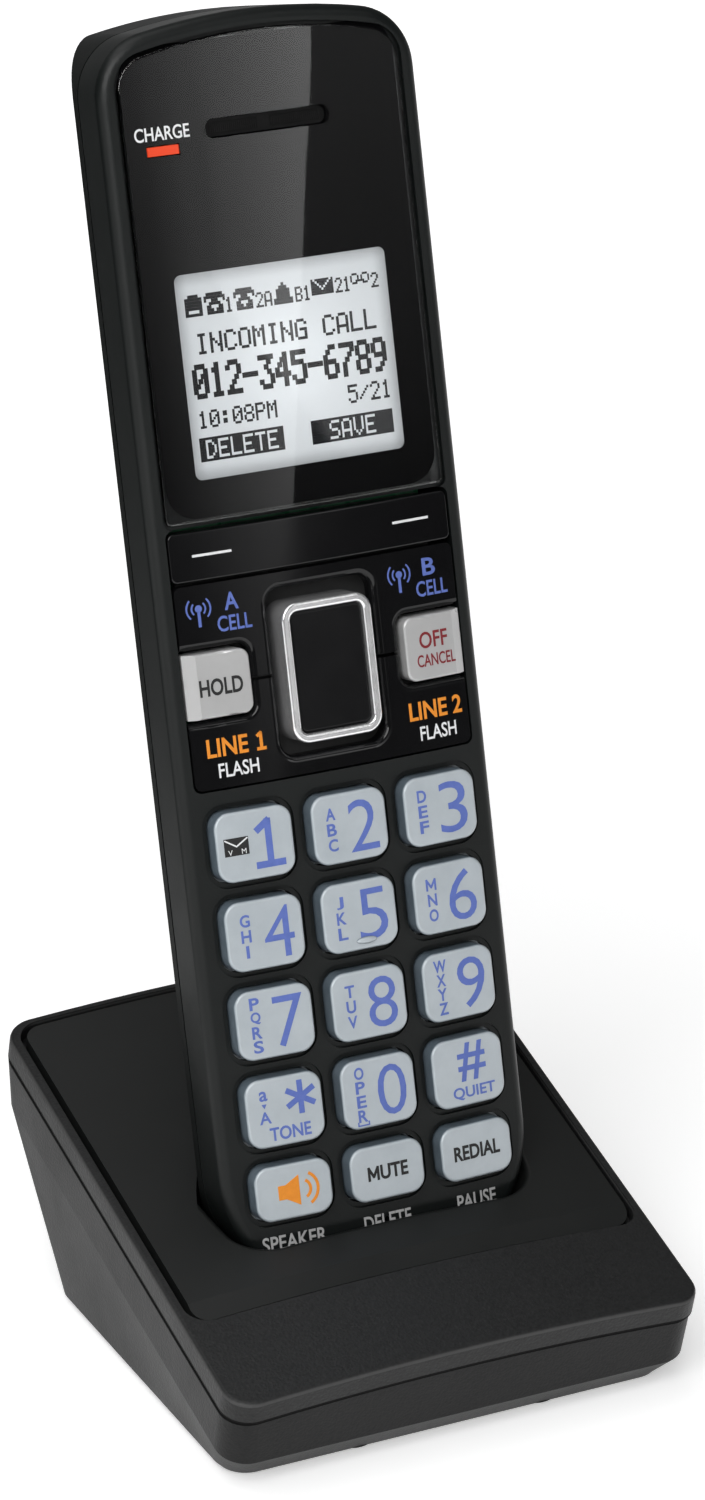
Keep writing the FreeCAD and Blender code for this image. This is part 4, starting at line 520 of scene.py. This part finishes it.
# %% Inks
inks = {
    "white": finish("white ink", (0.78, 0.79, 0.80), (0.88, 0.89, 0.90), 0.4, 0.55, drift=900),
    "blue": finish("blue ink", (0.095, 0.15, 0.47), (0.125, 0.185, 0.54), 0.4, 0.55, drift=900),
    "orange": finish("orange ink", (0.82, 0.26, 0.016), (0.93, 0.32, 0.026), 0.4, 0.55, drift=900),
    "red": finish("dark red ink", (0.19, 0.007, 0.012), (0.23, 0.011, 0.018), 0.4, 0.55, drift=900),
    "grey": finish("grey ink", (0.42, 0.42, 0.42), (0.50, 0.50, 0.50), 0.4, 0.55, drift=900),
    "black": finish("black ink", (0.006, 0.006, 0.006), (0.011, 0.011, 0.011), 0.4, 0.55, drift=900),
}
INK_TOP = 0.035
INK_ROOT = -0.02
printed = {}


def sheet_of(body, ink, where="face", proud=0.0):
    """The growing print of one ink on one body, as a flat bmesh in millimetres: x, up, thickness."""
    key = (body, ink, where, proud)
    if key not in printed:
        printed[key] = bmesh.new()
    return printed[key]


def words(sheet, text, x, z, high, wide=None, bold=0.0):
    """Add a line of lettering, centred at x, z, of a given height and, if told, width."""
    font = bpy.data.curves.new("lettering", "FONT")
    font.body = text
    font.extrude = 0.05
    font.offset = bold
    font.resolution_u = 4
    carrier = add("lettering", font)
    bpy.context.view_layer.update()
    mesh = bpy.data.meshes.new_from_object(carrier.evaluated_get(bpy.context.evaluated_depsgraph_get()))
    bpy.data.objects.remove(carrier)
    bpy.data.curves.remove(font)
    xs = [v.co.x for v in mesh.vertices]
    ys = [v.co.y for v in mesh.vertices]
    scale_y = high / (max(ys) - min(ys))
    scale_x = wide / (max(xs) - min(xs)) if wide else scale_y
    for v in mesh.vertices:
        v.co = (x + (v.co.x - (max(xs) + min(xs)) / 2) * scale_x,
                z + (v.co.y - (max(ys) + min(ys)) / 2) * scale_y, INK_TOP if v.co.z > 0 else INK_ROOT)
    sheet.from_mesh(mesh)
    bpy.data.meshes.remove(mesh)


def tile(sheet, x, z, wide, high, turn=0.0):
    """Add a rectangle of ink."""
    made = bmesh.ops.create_cube(sheet, size=1.0)["verts"]
    bmesh.ops.scale(sheet, vec=(wide, high, INK_TOP - INK_ROOT), verts=made)
    bmesh.ops.rotate(sheet, cent=(0, 0, 0), matrix=Matrix.Rotation(turn, 3, "Z"), verts=made)
    bmesh.ops.translate(sheet, vec=(x, z, (INK_TOP + INK_ROOT) / 2), verts=made)


def bars(sheet, x, z, thick, *lines):
    """Add straight strokes of ink, each given by its two ends as x and up, counted from x, z."""
    for x1, z1, x2, z2 in lines:
        long = math.hypot(x2 - x1, z2 - z1) + thick * 0.7
        tile(sheet, x + (x1 + x2) / 2, z + (z1 + z2) / 2, long, thick, math.atan2(z2 - z1, x2 - x1))


def disc(sheet, x, z, radius, sides=20):
    """Add a round dot of ink, or a triangle when it has three sides, and give its points."""
    made = bmesh.ops.create_cone(sheet, cap_ends=True, segments=sides, radius1=radius, radius2=radius,
                                 depth=INK_TOP - INK_ROOT)["verts"]
    bmesh.ops.translate(sheet, vec=(x, z, (INK_TOP + INK_ROOT) / 2), verts=made)
    return made


def stroke(sheet, x, z, radius, middle, sweep, wide):
    """Add an arc of ink round x, z: a small rectangle spun through an angle, with both ends closed."""
    start = middle - sweep / 2
    out = Vector((math.cos(start), math.sin(start), 0))
    corners = [(radius - wide / 2, INK_ROOT), (radius + wide / 2, INK_ROOT),
               (radius + wide / 2, INK_TOP), (radius - wide / 2, INK_TOP)]
    ring = [sheet.verts.new(out * r + Vector((x, z, t))) for r, t in corners]
    first = sheet.faces.new(ring)
    bmesh.ops.spin(sheet, geom=[first], cent=(x, z, 0), axis=(0, 0, 1), angle=sweep, steps=10,
                   use_duplicate=False)


print("inks:", list(inks))

# %% [markdown]
# ## Legends on the number keys
# Each number key carries a large blue figure right of the middle and its letters in a column at the
# left. The figures are text objects made into meshes, because a mesh can be bent over the crowned key
# afterwards. One table holds every key's words, so a wrong letter is mended in one place.

# %% Number keys
key_rows = [64.6, 52.2, 39.8, 27.4]
key_table = [
    ("key_1", "1", ""), ("key_2", "2", "ABC"), ("key_3", "3", "DEF"),
    ("key_4", "4", "GHI"), ("key_5", "5", "JKL"), ("key_6", "6", "MNO"),
    ("key_7", "7", "PQRS"), ("key_8", "8", "TUV"), ("key_9", "9", "WXYZ"),
    ("key_star", "", ""), ("key_0", "0", "OPER"), ("key_hash", "", ""),
]
KEY_PROUD = 1.8
FIGURE_IN = 1.95
LETTERS_OUT = 2.8


def one(sheet, x, z, high, wide, thick):
    """A figure one with a flag and a foot."""
    low, top = (thick - high) / 2, (high - thick) / 2
    bars(sheet, x, z, thick, (0, low, 0, top), (-wide * 0.42, top - wide * 0.3, 0, top),
         (-wide / 2, low, wide / 2, low))


def letter_m(sheet, x, z, high, wide, thick):
    """A capital M, which the built-in lettering garbles when it is made bold."""
    low, top, side = (thick - high) / 2, (high - thick) / 2, (wide - thick) / 2
    bars(sheet, x, z, thick, (-side, low, -side, top), (side, low, side, top),
         (-side, top, 0, low * 0.5), (0, low * 0.5, side, top))


for number, (body, figure, letters) in enumerate(key_table):
    x = (number % 3 - 1) * KEY_PITCH
    z = key_rows[number // 3]
    blue = sheet_of(body, "blue", proud=KEY_PROUD)
    if figure == "1":
        one(blue, x + FIGURE_IN, z, 6.9, 3.6, 0.95)
    elif figure:
        words(blue, figure, x + FIGURE_IN, z - 0.05, 7.1, wide=4.35, bold=-0.004)
    for count, letter in enumerate(letters):
        drop = (count - (len(letters) - 1) / 2) * (2.15 if len(letters) == 3 else 2.0)
        width = {"I": 0.45, "J": 1.05, "W": 2.0}.get(letter, 1.42)
        if letter == "M":
            letter_m(blue, x - LETTERS_OUT, z - drop, 1.72, 1.6, 0.3)
        else:
            words(blue, letter, x - LETTERS_OUT, z - drop, 1.72, wide=width, bold=0.024)
bars(sheet_of("key_0", "blue", proud=KEY_PROUD), -LETTERS_OUT, key_rows[3] - 4.3, 0.2, (-0.8, 0.45, -0.8, 0),
     (-0.8, 0, 0.8, 0), (0.8, 0, 0.8, 0.45))

blue = sheet_of("key_star", "blue", proud=KEY_PROUD)
star_x, star_z = -KEY_PITCH, key_rows[3]
column_x = star_x - 3.0
for turn in (0, 60, 120):
    tile(blue, star_x + 2.35, star_z + 1.55, 4.7, 0.8, math.radians(turn + 90))
words(blue, "TONE", star_x + 0.4, star_z - 3.0, 1.9, wide=6.0, bold=0.022)
words(blue, "a", column_x, star_z + 2.5, 1.4, bold=0.018)
words(blue, "A", column_x, star_z - 0.55, 1.7, bold=0.018)
point = disc(blue, column_x, star_z + 1.15, 0.42, sides=3)
bmesh.ops.rotate(blue, cent=(column_x, star_z + 1.15, 0), matrix=Matrix.Rotation(math.pi, 3, "Z"),
                 verts=point)
blue = sheet_of("key_hash", "blue", proud=KEY_PROUD)
words(blue, "#", KEY_PITCH + 0.6, key_rows[3] + 1.35, 5.4, wide=4.4, bold=0.014)
words(blue, "QUIET", KEY_PITCH + 0.6, key_rows[3] - 3.0, 1.85, wide=6.7, bold=0.02)
print(len(printed), "prints so far")

# %% [markdown]
# ## Envelope, speaker and words on the other keys
# The message key shows a small envelope with its flap, the speaker key a horn with two sound waves. Both
# are a few rectangles, discs and spun arcs, which bmesh gives closed and thin.

# %% Envelope and function keys
black = sheet_of("key_1", "black", proud=KEY_PROUD)
tile(black, -KEY_PITCH - 2.75, key_rows[0] + 0.1, 3.5, 2.45)
white = sheet_of("key_1", "white", proud=KEY_PROUD + 0.03)
for x, slope, letter_x, letter in ((-17.55, -32, -17.7, "V"), (-15.95, 32, -15.75, "M")):
    tile(white, x, key_rows[0] + 0.62, 2.0, 0.2, math.radians(slope))
    words(white, letter, letter_x, key_rows[0] - 0.62, 0.7)

FUNCTION_ROW = 16.07
orange = sheet_of("speaker_key", "orange", proud=KEY_PROUD)
tile(orange, -15.75, FUNCTION_ROW, 1.2, 2.0)
horn = bmesh.ops.create_cone(orange, cap_ends=True, segments=4, radius1=1.9, radius2=1.9,
                             depth=INK_TOP - INK_ROOT)["verts"]
bmesh.ops.rotate(orange, cent=(0, 0, 0), matrix=Matrix.Rotation(math.radians(45), 3, "Z"), verts=horn)
for v in horn:
    v.co.x = 1.0 if v.co.x > 0 else -1.0
    v.co.y = math.copysign(2.15 if v.co.x > 0 else 1.0, v.co.y)
bmesh.ops.translate(orange, vec=(-14.25, FUNCTION_ROW, (INK_TOP + INK_ROOT) / 2), verts=horn)
for radius in (1.35, 2.45):
    stroke(orange, -13.0, FUNCTION_ROW, radius, 0.0, math.radians(120), 0.42)
black = sheet_of("mute_key", "black", proud=KEY_PROUD)
letter_m(black, -2.2, FUNCTION_ROW, 2.1, 1.75, 0.38)
words(black, "UTE", 0.95, FUNCTION_ROW, 2.1, wide=4.2, bold=0.03)
words(sheet_of("redial_key", "black", proud=KEY_PROUD), "REDIAL", KEY_PITCH, FUNCTION_ROW, 2.1, wide=7.3,
      bold=0.03)
WING_PROUD = 1.0
words(sheet_of("hold_key", "black", proud=WING_PROUD), "HOLD", -16.0, 86.6, 2.35, wide=6.2, bold=0.024)
red = sheet_of("off_key", "red", proud=WING_PROUD)
words(red, "OFF", 16.0, 87.9, 2.3, wide=4.4, bold=0.014)
words(red, "CANCEL", 16.2, 85.1, 1.7, wide=6.0, bold=0.012)

# %% [markdown]
# ## Words on the rockers, the lens and the case
# The upper rocker answers two cell lines, the lower one two house lines. The aerial sign is a mast with
# arcs at both sides.

# %% Rockers, lens and case
MAST_TOP = 97.3
LINE_ROW, FLASH_ROW = 78.2, 75.0
for letter, mast in (("A", -17.6), ("B", 12.2)):
    blue = sheet_of("cell_rocker", "blue")
    words(blue, letter, mast + 4.7, 97.75, 2.4, wide=2.0, bold=0.02)
    words(blue, "CELL", mast + 4.9, 94.8, 2.15, wide=4.9, bold=0.014)
    disc(blue, mast, MAST_TOP, 0.5)
    bars(blue, mast, 95.9, 0.42, (0, -0.95, 0, 1.2))
    for radius in (0.98, 1.7):
        for middle in (0.0, math.pi):
            stroke(blue, mast, MAST_TOP, radius, middle, math.radians(92), 0.24)
orange = sheet_of("line_rocker", "orange")
words(orange, "LINE", -15.7, LINE_ROW, 2.55, wide=5.9, bold=0.022)
one(orange, -10.85, LINE_ROW, 2.6, 1.05, 0.45)
words(orange, "LINE 2", 15.7, LINE_ROW, 2.55, wide=8.3, bold=0.022)
white = sheet_of("line_rocker", "white")
for x, wide in ((-14.4, 5.8), (15.8, 5.7)):
    words(white, "FLASH", x, FLASH_ROW, 2.0, wide=wide, bold=0.012)
white = sheet_of("softkey_bar", "white")
for side in (-1, 1):
    tile(white, side * 14.85, 104.45, 5.6, 0.34)
white = sheet_of("handset", "white")
words(white, "CHARGE", -15.2, 160.9, 1.85, wide=7.7, bold=0.012)
grey = sheet_of("handset", "grey")
for x, text, wide in ((-KEY_PITCH, "SPEAKER", 9.4), (0.0, "DELETE", 7.2), (KEY_PITCH, "PAUSE", 6.2)):
    words(grey, text, x, 8.7, 2.15, wide=wide, bold=0.014)
print(len(printed), "prints")

# %% [markdown]
# ## What the display shows
# The display is a grid of dots. Each character is five dots wide and seven high, written here as five
# columns in hexadecimal, lowest bit at the top, the way display chips store them. One small tile per
# dark dot gives crisp characters that hold up close to the eye, which no blurred text would.

# %% Display rows
DOTS = {
    "0": "3E5149453E", "1": "00427F4000", "2": "4261514946", "3": "2141454B31", "4": "1814127F10",
    "5": "2745454539", "6": "3C4A494930", "7": "0171090503", "8": "3649494936", "9": "064949291E",
    ":": "0036360000", "-": "0808080808", "/": "2010080402", " ": "0000000000", "A": "7E1111117E",
    "B": "7F49494936", "C": "3E41414122", "D": "7F4141221C", "E": "7F49494941", "F": "7F09090901",
    "G": "3E4149497A", "I": "00417F4100", "L": "7F40404040", "M": "7F020C027F", "N": "7F0408107F",
    "O": "3E4141413E", "P": "7F09090906", "S": "4649494931", "T": "01017F0101", "V": "1F2040201F",
    "battery": "7E5F5F5F7E", "phone": "06737B6F4F6F7B7306", "letter": "7F7E7D7B776F777B7D7E7F",
    "bell": "607C7E7F7E7C60",
    "tape": "1C2222321C101C3222221C",
}
lit = sheet_of("handset", "display dots", "screen")


def columns(text):
    """The dot columns of a row, with one empty column after each character."""
    found = []
    for piece in text:
        code = DOTS[piece]
        found += [int(code[k:k + 2], 16) for k in range(0, len(code), 2)] + [0]
    return found[:-1]


def dot_row(text, x, z, wide, high, inverse=False, broad=0.98, tall=0.98):
    """Draw a row of dots: x is its left side, z its lowest dot, wide and high the pitch of the dots."""
    grid = columns(text)
    if inverse:
        grid = [0] * 3 + grid + [0] * 3
    drawn = 0
    for count, bits in enumerate(grid):
        for level in range(-1 if inverse else 0, 8 if inverse else 7):
            on = level in range(7) and bits >> level & 1
            if bool(on) != inverse:
                tile(lit, x + (count + 0.5) * wide, z + (6 - level + 0.5) * high, wide * broad, high * tall)
                drawn += 1
    return drawn


rows = [
    dot_row(["battery"], -14.3, 136.1, 0.5, 0.42),
    dot_row(["phone"], -11.5, 136.1, 0.34, 0.42),
    dot_row("1", -8.5, 136.1, 0.22, 0.29, broad=1.4),
    dot_row(["phone"], -7.2, 136.1, 0.34, 0.42),
    dot_row("2A", -4.0, 136.1, 0.21, 0.29, broad=1.3),
    dot_row(["bell"], -1.4, 136.1, 0.4, 0.42),
    dot_row("B1", 1.8, 136.1, 0.2, 0.29, broad=1.3),
    dot_row(["letter"], 4.2, 136.6, 0.3, 0.31),
    dot_row("21", 7.8, 136.5, 0.2, 0.29, broad=1.4),
    dot_row(["tape"], 10.1, 137.0, 0.26, 0.3),
    dot_row("2", 13.2, 136.5, 0.21, 0.29, broad=1.4),
    dot_row("INCOMING CALL", -13.3, 131.0, 0.345, 0.40, broad=1.15),
    dot_row("012-345-6789", -14.2, 125.1, 0.40, 0.66, broad=1.75, tall=1.1),
    dot_row("10:08PM", -14.2, 121.1, 0.28, 0.34, broad=1.15),
    dot_row("5/21", 8.0, 121.4, 0.28, 0.36, broad=1.15),
    dot_row("DELETE", -14.4, 117.0, 0.30, 0.36, inverse=True),
    dot_row(" SAVE ", 2.0, 117.0, 0.30, 0.36, inverse=True),
]
print(sum(rows), "dots on the display")
inks["display dots"] = finish("dark display dots", (0.005, 0.006, 0.008), (0.010, 0.011, 0.014), 0.6, 0.7,
                              drift=500, Specular_IOR_Level=0.0)

# %% [markdown]
# ## Laying the prints on the pieces
# Every print is still flat. Here each point is pushed back by the crown's depth at its x, stood off by
# the height of the key it belongs to, and turned into the room. The print then rides on its key, so it
# goes down with it.

# %% Lay the prints
SCREEN_DEPTH = 2.0
for (body, ink, where, proud), sheet in printed.items():
    bmesh.ops.remove_doubles(sheet, verts=sheet.verts, dist=1e-5)
    for v in sheet.verts:
        x, z, thick = v.co
        depth = SCREEN_DEPTH - thick if where == "screen" else face_depth(x) - proud - thick
        v.co = HANDSET @ Vector((x, depth, z))
    bmesh.ops.recalc_face_normals(sheet, faces=sheet.faces)
    name = f"{body}_{ink.replace(' ', '_')}_print"
    if ink == "display dots":
        name = "display_characters"
    mesh = settle(name, sheet)
    mesh.materials.append(inks[ink])
    piece = add(name, mesh)
    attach(piece, body)
print(len(printed), "printed pieces")

# %% [markdown]
# ## Shaped pieces
# A helper turns a finished bmesh, made in handset millimetres, into an object at the origin. Smooth
# shading with a sharp angle keeps flats flat and rounds round.

# %% Piece helper
def make(name, mesh_in, material, body, replaces=(), sharp=35):
    bmesh.ops.transform(mesh_in, matrix=HANDSET, verts=mesh_in.verts)
    bmesh.ops.recalc_face_normals(mesh_in, faces=mesh_in.faces)
    mesh = settle(name, mesh_in)
    mesh.shade_smooth()
    mesh.set_sharp_from_angle(angle=math.radians(sharp))
    mesh.materials.append(material)
    piece = add(name, mesh)
    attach(piece, body)
    if replaces:
        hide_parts(*replaces)
    print(name, len(mesh.polygons), "faces")


def rounded_face(bm, wide, high, radius, depth, x=0.0, z=0.0):
    """A flat rounded rectangle at a depth behind the face, as one face."""
    made = bmesh.ops.create_grid(bm, x_segments=1, y_segments=1, size=0.5)["verts"]
    bmesh.ops.scale(bm, vec=(wide, high, 1), verts=made)
    bmesh.ops.rotate(bm, cent=(0, 0, 0), matrix=Matrix.Rotation(math.radians(90), 3, "X"), verts=made)
    bmesh.ops.translate(bm, vec=(x, depth, z), verts=made)
    bmesh.ops.bevel(bm, geom=made, offset=radius, affect="VERTICES", segments=8, profile=0.5, material=-1)


# %% [markdown]
# ## The nib on the middle key
# A small raised bar on the 5 key tells the thumb where it is. It is a sphere squashed to an oval and
# sunk halfway into the key's face.

# %% Middle key's nib
bm = bmesh.new()
nib = bmesh.ops.create_uvsphere(bm, u_segments=24, v_segments=12, radius=1.0)["verts"]
bmesh.ops.scale(bm, vec=(1.55, 0.42, 0.5), verts=nib)
bmesh.ops.translate(bm, vec=(0.6, face_depth(0.6) - KEY_PROUD, key_rows[1] - 3.55), verts=nib)
make("middle_key_nib", bm, key_silver, "key_5")

# %% [markdown]
# ## The lens's black print
# A frame of black ink on the back of the lens hides everything but the display. It is a sheet with a
# window: one outer outline and one inner, bridged, then given a little thickness.

# %% Lens print
def ring_plate(outer, inner, front, thick):
    """A thin plate between two outlines, each (wide, high, radius, x, z)."""
    bm = bmesh.new()
    rounded_face(bm, *outer[:3], front, x=outer[3], z=outer[4])
    rounded_face(bm, *inner[:3], front, x=inner[3], z=inner[4])
    bmesh.ops.delete(bm, geom=bm.faces[:], context="FACES_ONLY")
    bmesh.ops.bridge_loops(bm, edges=bm.edges[:])
    bmesh.ops.solidify(bm, geom=bm.faces[:], thickness=thick)
    return bm


border = ring_plate((40.0, 63.2, 4.2, 0, 140.85), (31.1, 27.6, 1.0, 0, SCREEN_MIDDLE), 1.72, 0.06)
lens_black = finish("black lens print", (0.0035, 0.0035, 0.0038), (0.0055, 0.0055, 0.006), 0.6, 0.7,
                    Specular_IOR_Level=0.0)
make("lens_print", border, lens_black, "handset", sharp=60)

# %% [markdown]
# ## Earpiece grille
# Behind the slot lies a small plate. On it two flat faces, just in front of the plate, stand for its two
# openings, and over each lies a woven cloth of crossing wires, each a thin six-sided rod.

# %% Earpiece
EAR = 160.66
OPENINGS = (-4.4, 4.6)
bm = bmesh.new()
rounded_face(bm, 18.0, 2.3, 1.05, 1.55, z=EAR)
bmesh.ops.solidify(bm, geom=bm.faces[:], thickness=0.2)
for x in OPENINGS:
    rounded_face(bm, 7.4, 1.35, 0.5, 1.45, x=x, z=EAR)


def rod(long):
    """A thin wire of the cloth, standing upright at the origin."""
    return bmesh.ops.create_cone(bm, cap_ends=True, segments=6, radius1=0.06, radius2=0.06,
                                 depth=long)["verts"]


weave = finish("black woven cloth", (0.0015, 0.0015, 0.0015), (0.003, 0.003, 0.003), 0.5, 0.65,
               Specular_IOR_Level=0.25)
for x in OPENINGS:
    for count in range(24):
        bmesh.ops.translate(bm, vec=(x - 3.45 + count * 0.3, 1.38, EAR), verts=rod(1.3))
    for count in range(5):
        wire = rod(7.1)
        bmesh.ops.rotate(bm, cent=(0, 0, 0), matrix=Matrix.Rotation(math.radians(90), 3, "Y"), verts=wire)
        bmesh.ops.translate(bm, vec=(x, 1.44, EAR - 0.5 + count * 0.25), verts=wire)
make("earpiece_grille", bm, weave, "handset", replaces=["earpiece_mesh"])

# %% [markdown]
# ## Studio
# A pale floor that runs far back and a dim room, a little lighter behind the telephone. The floor's white
# comes from a glow that only camera, mirror and glass rays see, so it lights nothing. The glow is weaker
# near the origin, where the cradle's soft shadow should still show.

# %% Floor and room
bm = bmesh.new()
bmesh.ops.create_circle(bm, cap_ends=True, segments=96, radius=4.0)
floor_mesh = settle("floor", bm)
floor = add("floor", floor_mesh)
paper = finish("studio paper", (0.90, 0.90, 0.90), (0.92, 0.92, 0.92), 0.85, 0.95, drift=8)
tree = paper.node_tree
shader = tree.nodes["Principled BSDF"]
path = tree.nodes.new("ShaderNodeLightPath")
place = tree.nodes.new("ShaderNodeTexCoord")
away = tree.nodes.new("ShaderNodeVectorMath")
away.operation = "LENGTH"
tree.links.new(place.outputs["Object"], away.inputs[0])
paler = ramp(tree, away.outputs["Value"], 0.08, 0.7, 0.42, 0.85)
seen = arithmetic(tree, "MAXIMUM", path.outputs["Is Camera Ray"], path.outputs["Is Glossy Ray"])
seen = arithmetic(tree, "MAXIMUM", seen, path.outputs["Is Transmission Ray"])
tree.links.new(arithmetic(tree, "MULTIPLY", seen, paler), shader.inputs["Emission Strength"])
shader.inputs["Emission Color"].default_value = rgb(1, 1, 1)
floor_mesh.materials.append(paper)

world = bpy.data.worlds.new("room")
bpy.context.scene.world = world
world.use_nodes = True
tree = world.node_tree
sky = tree.nodes["Background"]
place = tree.nodes.new("ShaderNodeTexCoord")
split = tree.nodes.new("ShaderNodeSeparateXYZ")
tree.links.new(place.outputs["Generated"], split.inputs[0])
tree.links.new(ramp(tree, split.outputs["Y"], -0.2, 0.8, 0.05, 0.17), sky.inputs["Color"])
sky.inputs["Strength"].default_value = 1.0
print("floor and room ready")

# %% [markdown]
# ## Soft lamps
# A large lamp stands at the left and one above. A narrow one only draws thin lights along the edges.

# %% Lamps
def area_lamp(name, wide, high, watts, axes):
    """A rectangular lamp whose place and turn are given by one matrix."""
    light = bpy.data.lights.new(name, "AREA")
    light.shape = "RECTANGLE"
    light.size = wide
    light.size_y = high
    light.energy = watts
    add(name, light).matrix_world = axes
    return light


middle = Vector((0, 0, 0.09))
for name, offset, wide, high, watts in (
        ("key lamp", 1.25 * Vector((-0.55, -0.58, 0.60)), 0.9, 0.9, 12.0),
        ("top lamp", Vector((-0.35, 0.15, 1.3)), 1.2, 1.2, 7.2),
        ("edge lamp", 0.95 * Vector((0.40, -0.487, 0.772)), 0.55, 0.14, 0.5)):
    towards = (-offset).to_track_quat("-Z", "Y").to_matrix().to_4x4()
    area_lamp(name, wide, high, watts, Matrix.Translation(middle + offset) @ towards)
print(len(bpy.data.lights), "soft lamps")

# %% [markdown]
# ## The lamp in the lens
# One lamp stands where the lens mirrors it towards the camera, so half of the lens is grey and the other
# half deep black, and that is what makes the black face look polished. The lamp isn't evenly bright: it
# fades towards one corner and is faint beyond the slanting edge, at which the lens turns black.

# %% Lens lamp
mirror_centre = Vector((0.2025, -0.6532, 0.1848))
across = Vector((0.9536, 0.3011, 0.0))
upward = Vector((-0.0151, 0.0478, 0.9987))
edge_top = mirror_centre + 0.165 * across + 0.127 * upward
along = 0.657 * across + 0.754 * upward
inward = -0.754 * across + 0.657 * upward
right_part, left_part, low_part, high_part = 0.19, 0.21, 0.31, 0.08
centre = edge_top - along * (low_part - high_part) / 2 + inward * (left_part - right_part) / 2
axes = Matrix((-inward, along, (-inward).cross(along))).transposed()
light = area_lamp("lens lamp", left_part + right_part, low_part + high_part, 1.3,
                  Matrix.Translation(centre) @ axes.to_4x4())
light.use_nodes = True
tree = light.node_tree
spot = tree.nodes.new("ShaderNodeNewGeometry")
from_top = tree.nodes.new("ShaderNodeVectorMath")
from_top.operation = "SUBTRACT"
from_top.inputs[1].default_value = edge_top
tree.links.new(spot.outputs["Position"], from_top.inputs[0])
SHARP_EDGE = 0.0005
levels = []
for direction, low, to_high in ((3.155 * along - 1.507 * inward, -1.011, 1.0),
                                ((along + 0.7415 * inward) / 0.173, -1.0, 0.11), (inward, 0.0, 1.0)):
    reach = measure_along(tree, from_top.outputs["Vector"], direction)
    levels.append(ramp(tree, reach, low, low + 1.0 if low else SHARP_EDGE, 0.0, to_high))
either = tree.nodes.new("ShaderNodeMix")
tree.links.new(levels[2], either.inputs["Factor"])
tree.links.new(levels[1], either.inputs["A"])
tree.links.new(arithmetic(tree, "POWER", levels[0], 1.3), either.inputs["B"])
tree.links.new(either.outputs["Result"], tree.nodes["Emission"].inputs["Strength"])
print("lens lamp faces", [round(v, 3) for v in -axes.col[2]])

# %% [markdown]
# ## Black card
# On a white floor the sides of a black object mirror the floor and turn grey. A photographer stands a
# black card just outside the picture, so that the side mirrors the card instead. This one is there for
# mirror rays only: it takes no lamp light away, and no view shows it.

# %% Black card
bm = bmesh.new()
made = bmesh.ops.create_grid(bm, x_segments=1, y_segments=1, size=0.5)["verts"]
bmesh.ops.rotate(bm, cent=(0, 0, 0), matrix=Matrix.Rotation(math.radians(90), 3, "Y"), verts=made)
bmesh.ops.scale(bm, vec=(1, 0.36, 0.2), verts=made)
bmesh.ops.translate(bm, vec=(-0.07, 0.21, 0.105), verts=made)
card_mesh = settle("black_card", bm)
card_mesh.materials.append(finish("black card", (0.008, 0.008, 0.008), (0.012, 0.012, 0.012), 0.8, 0.9))
card = add("black_card", card_mesh)
for kind in ("camera", "diffuse", "transmission", "volume_scatter", "shadow"):
    setattr(card, "visible_" + kind, False)
print("black card", [round(v, 3) for v in card.dimensions])

# %% [markdown]
# ## Last update
# The scene is brought up to date once more.

# %% Last update
bpy.context.view_layer.update()
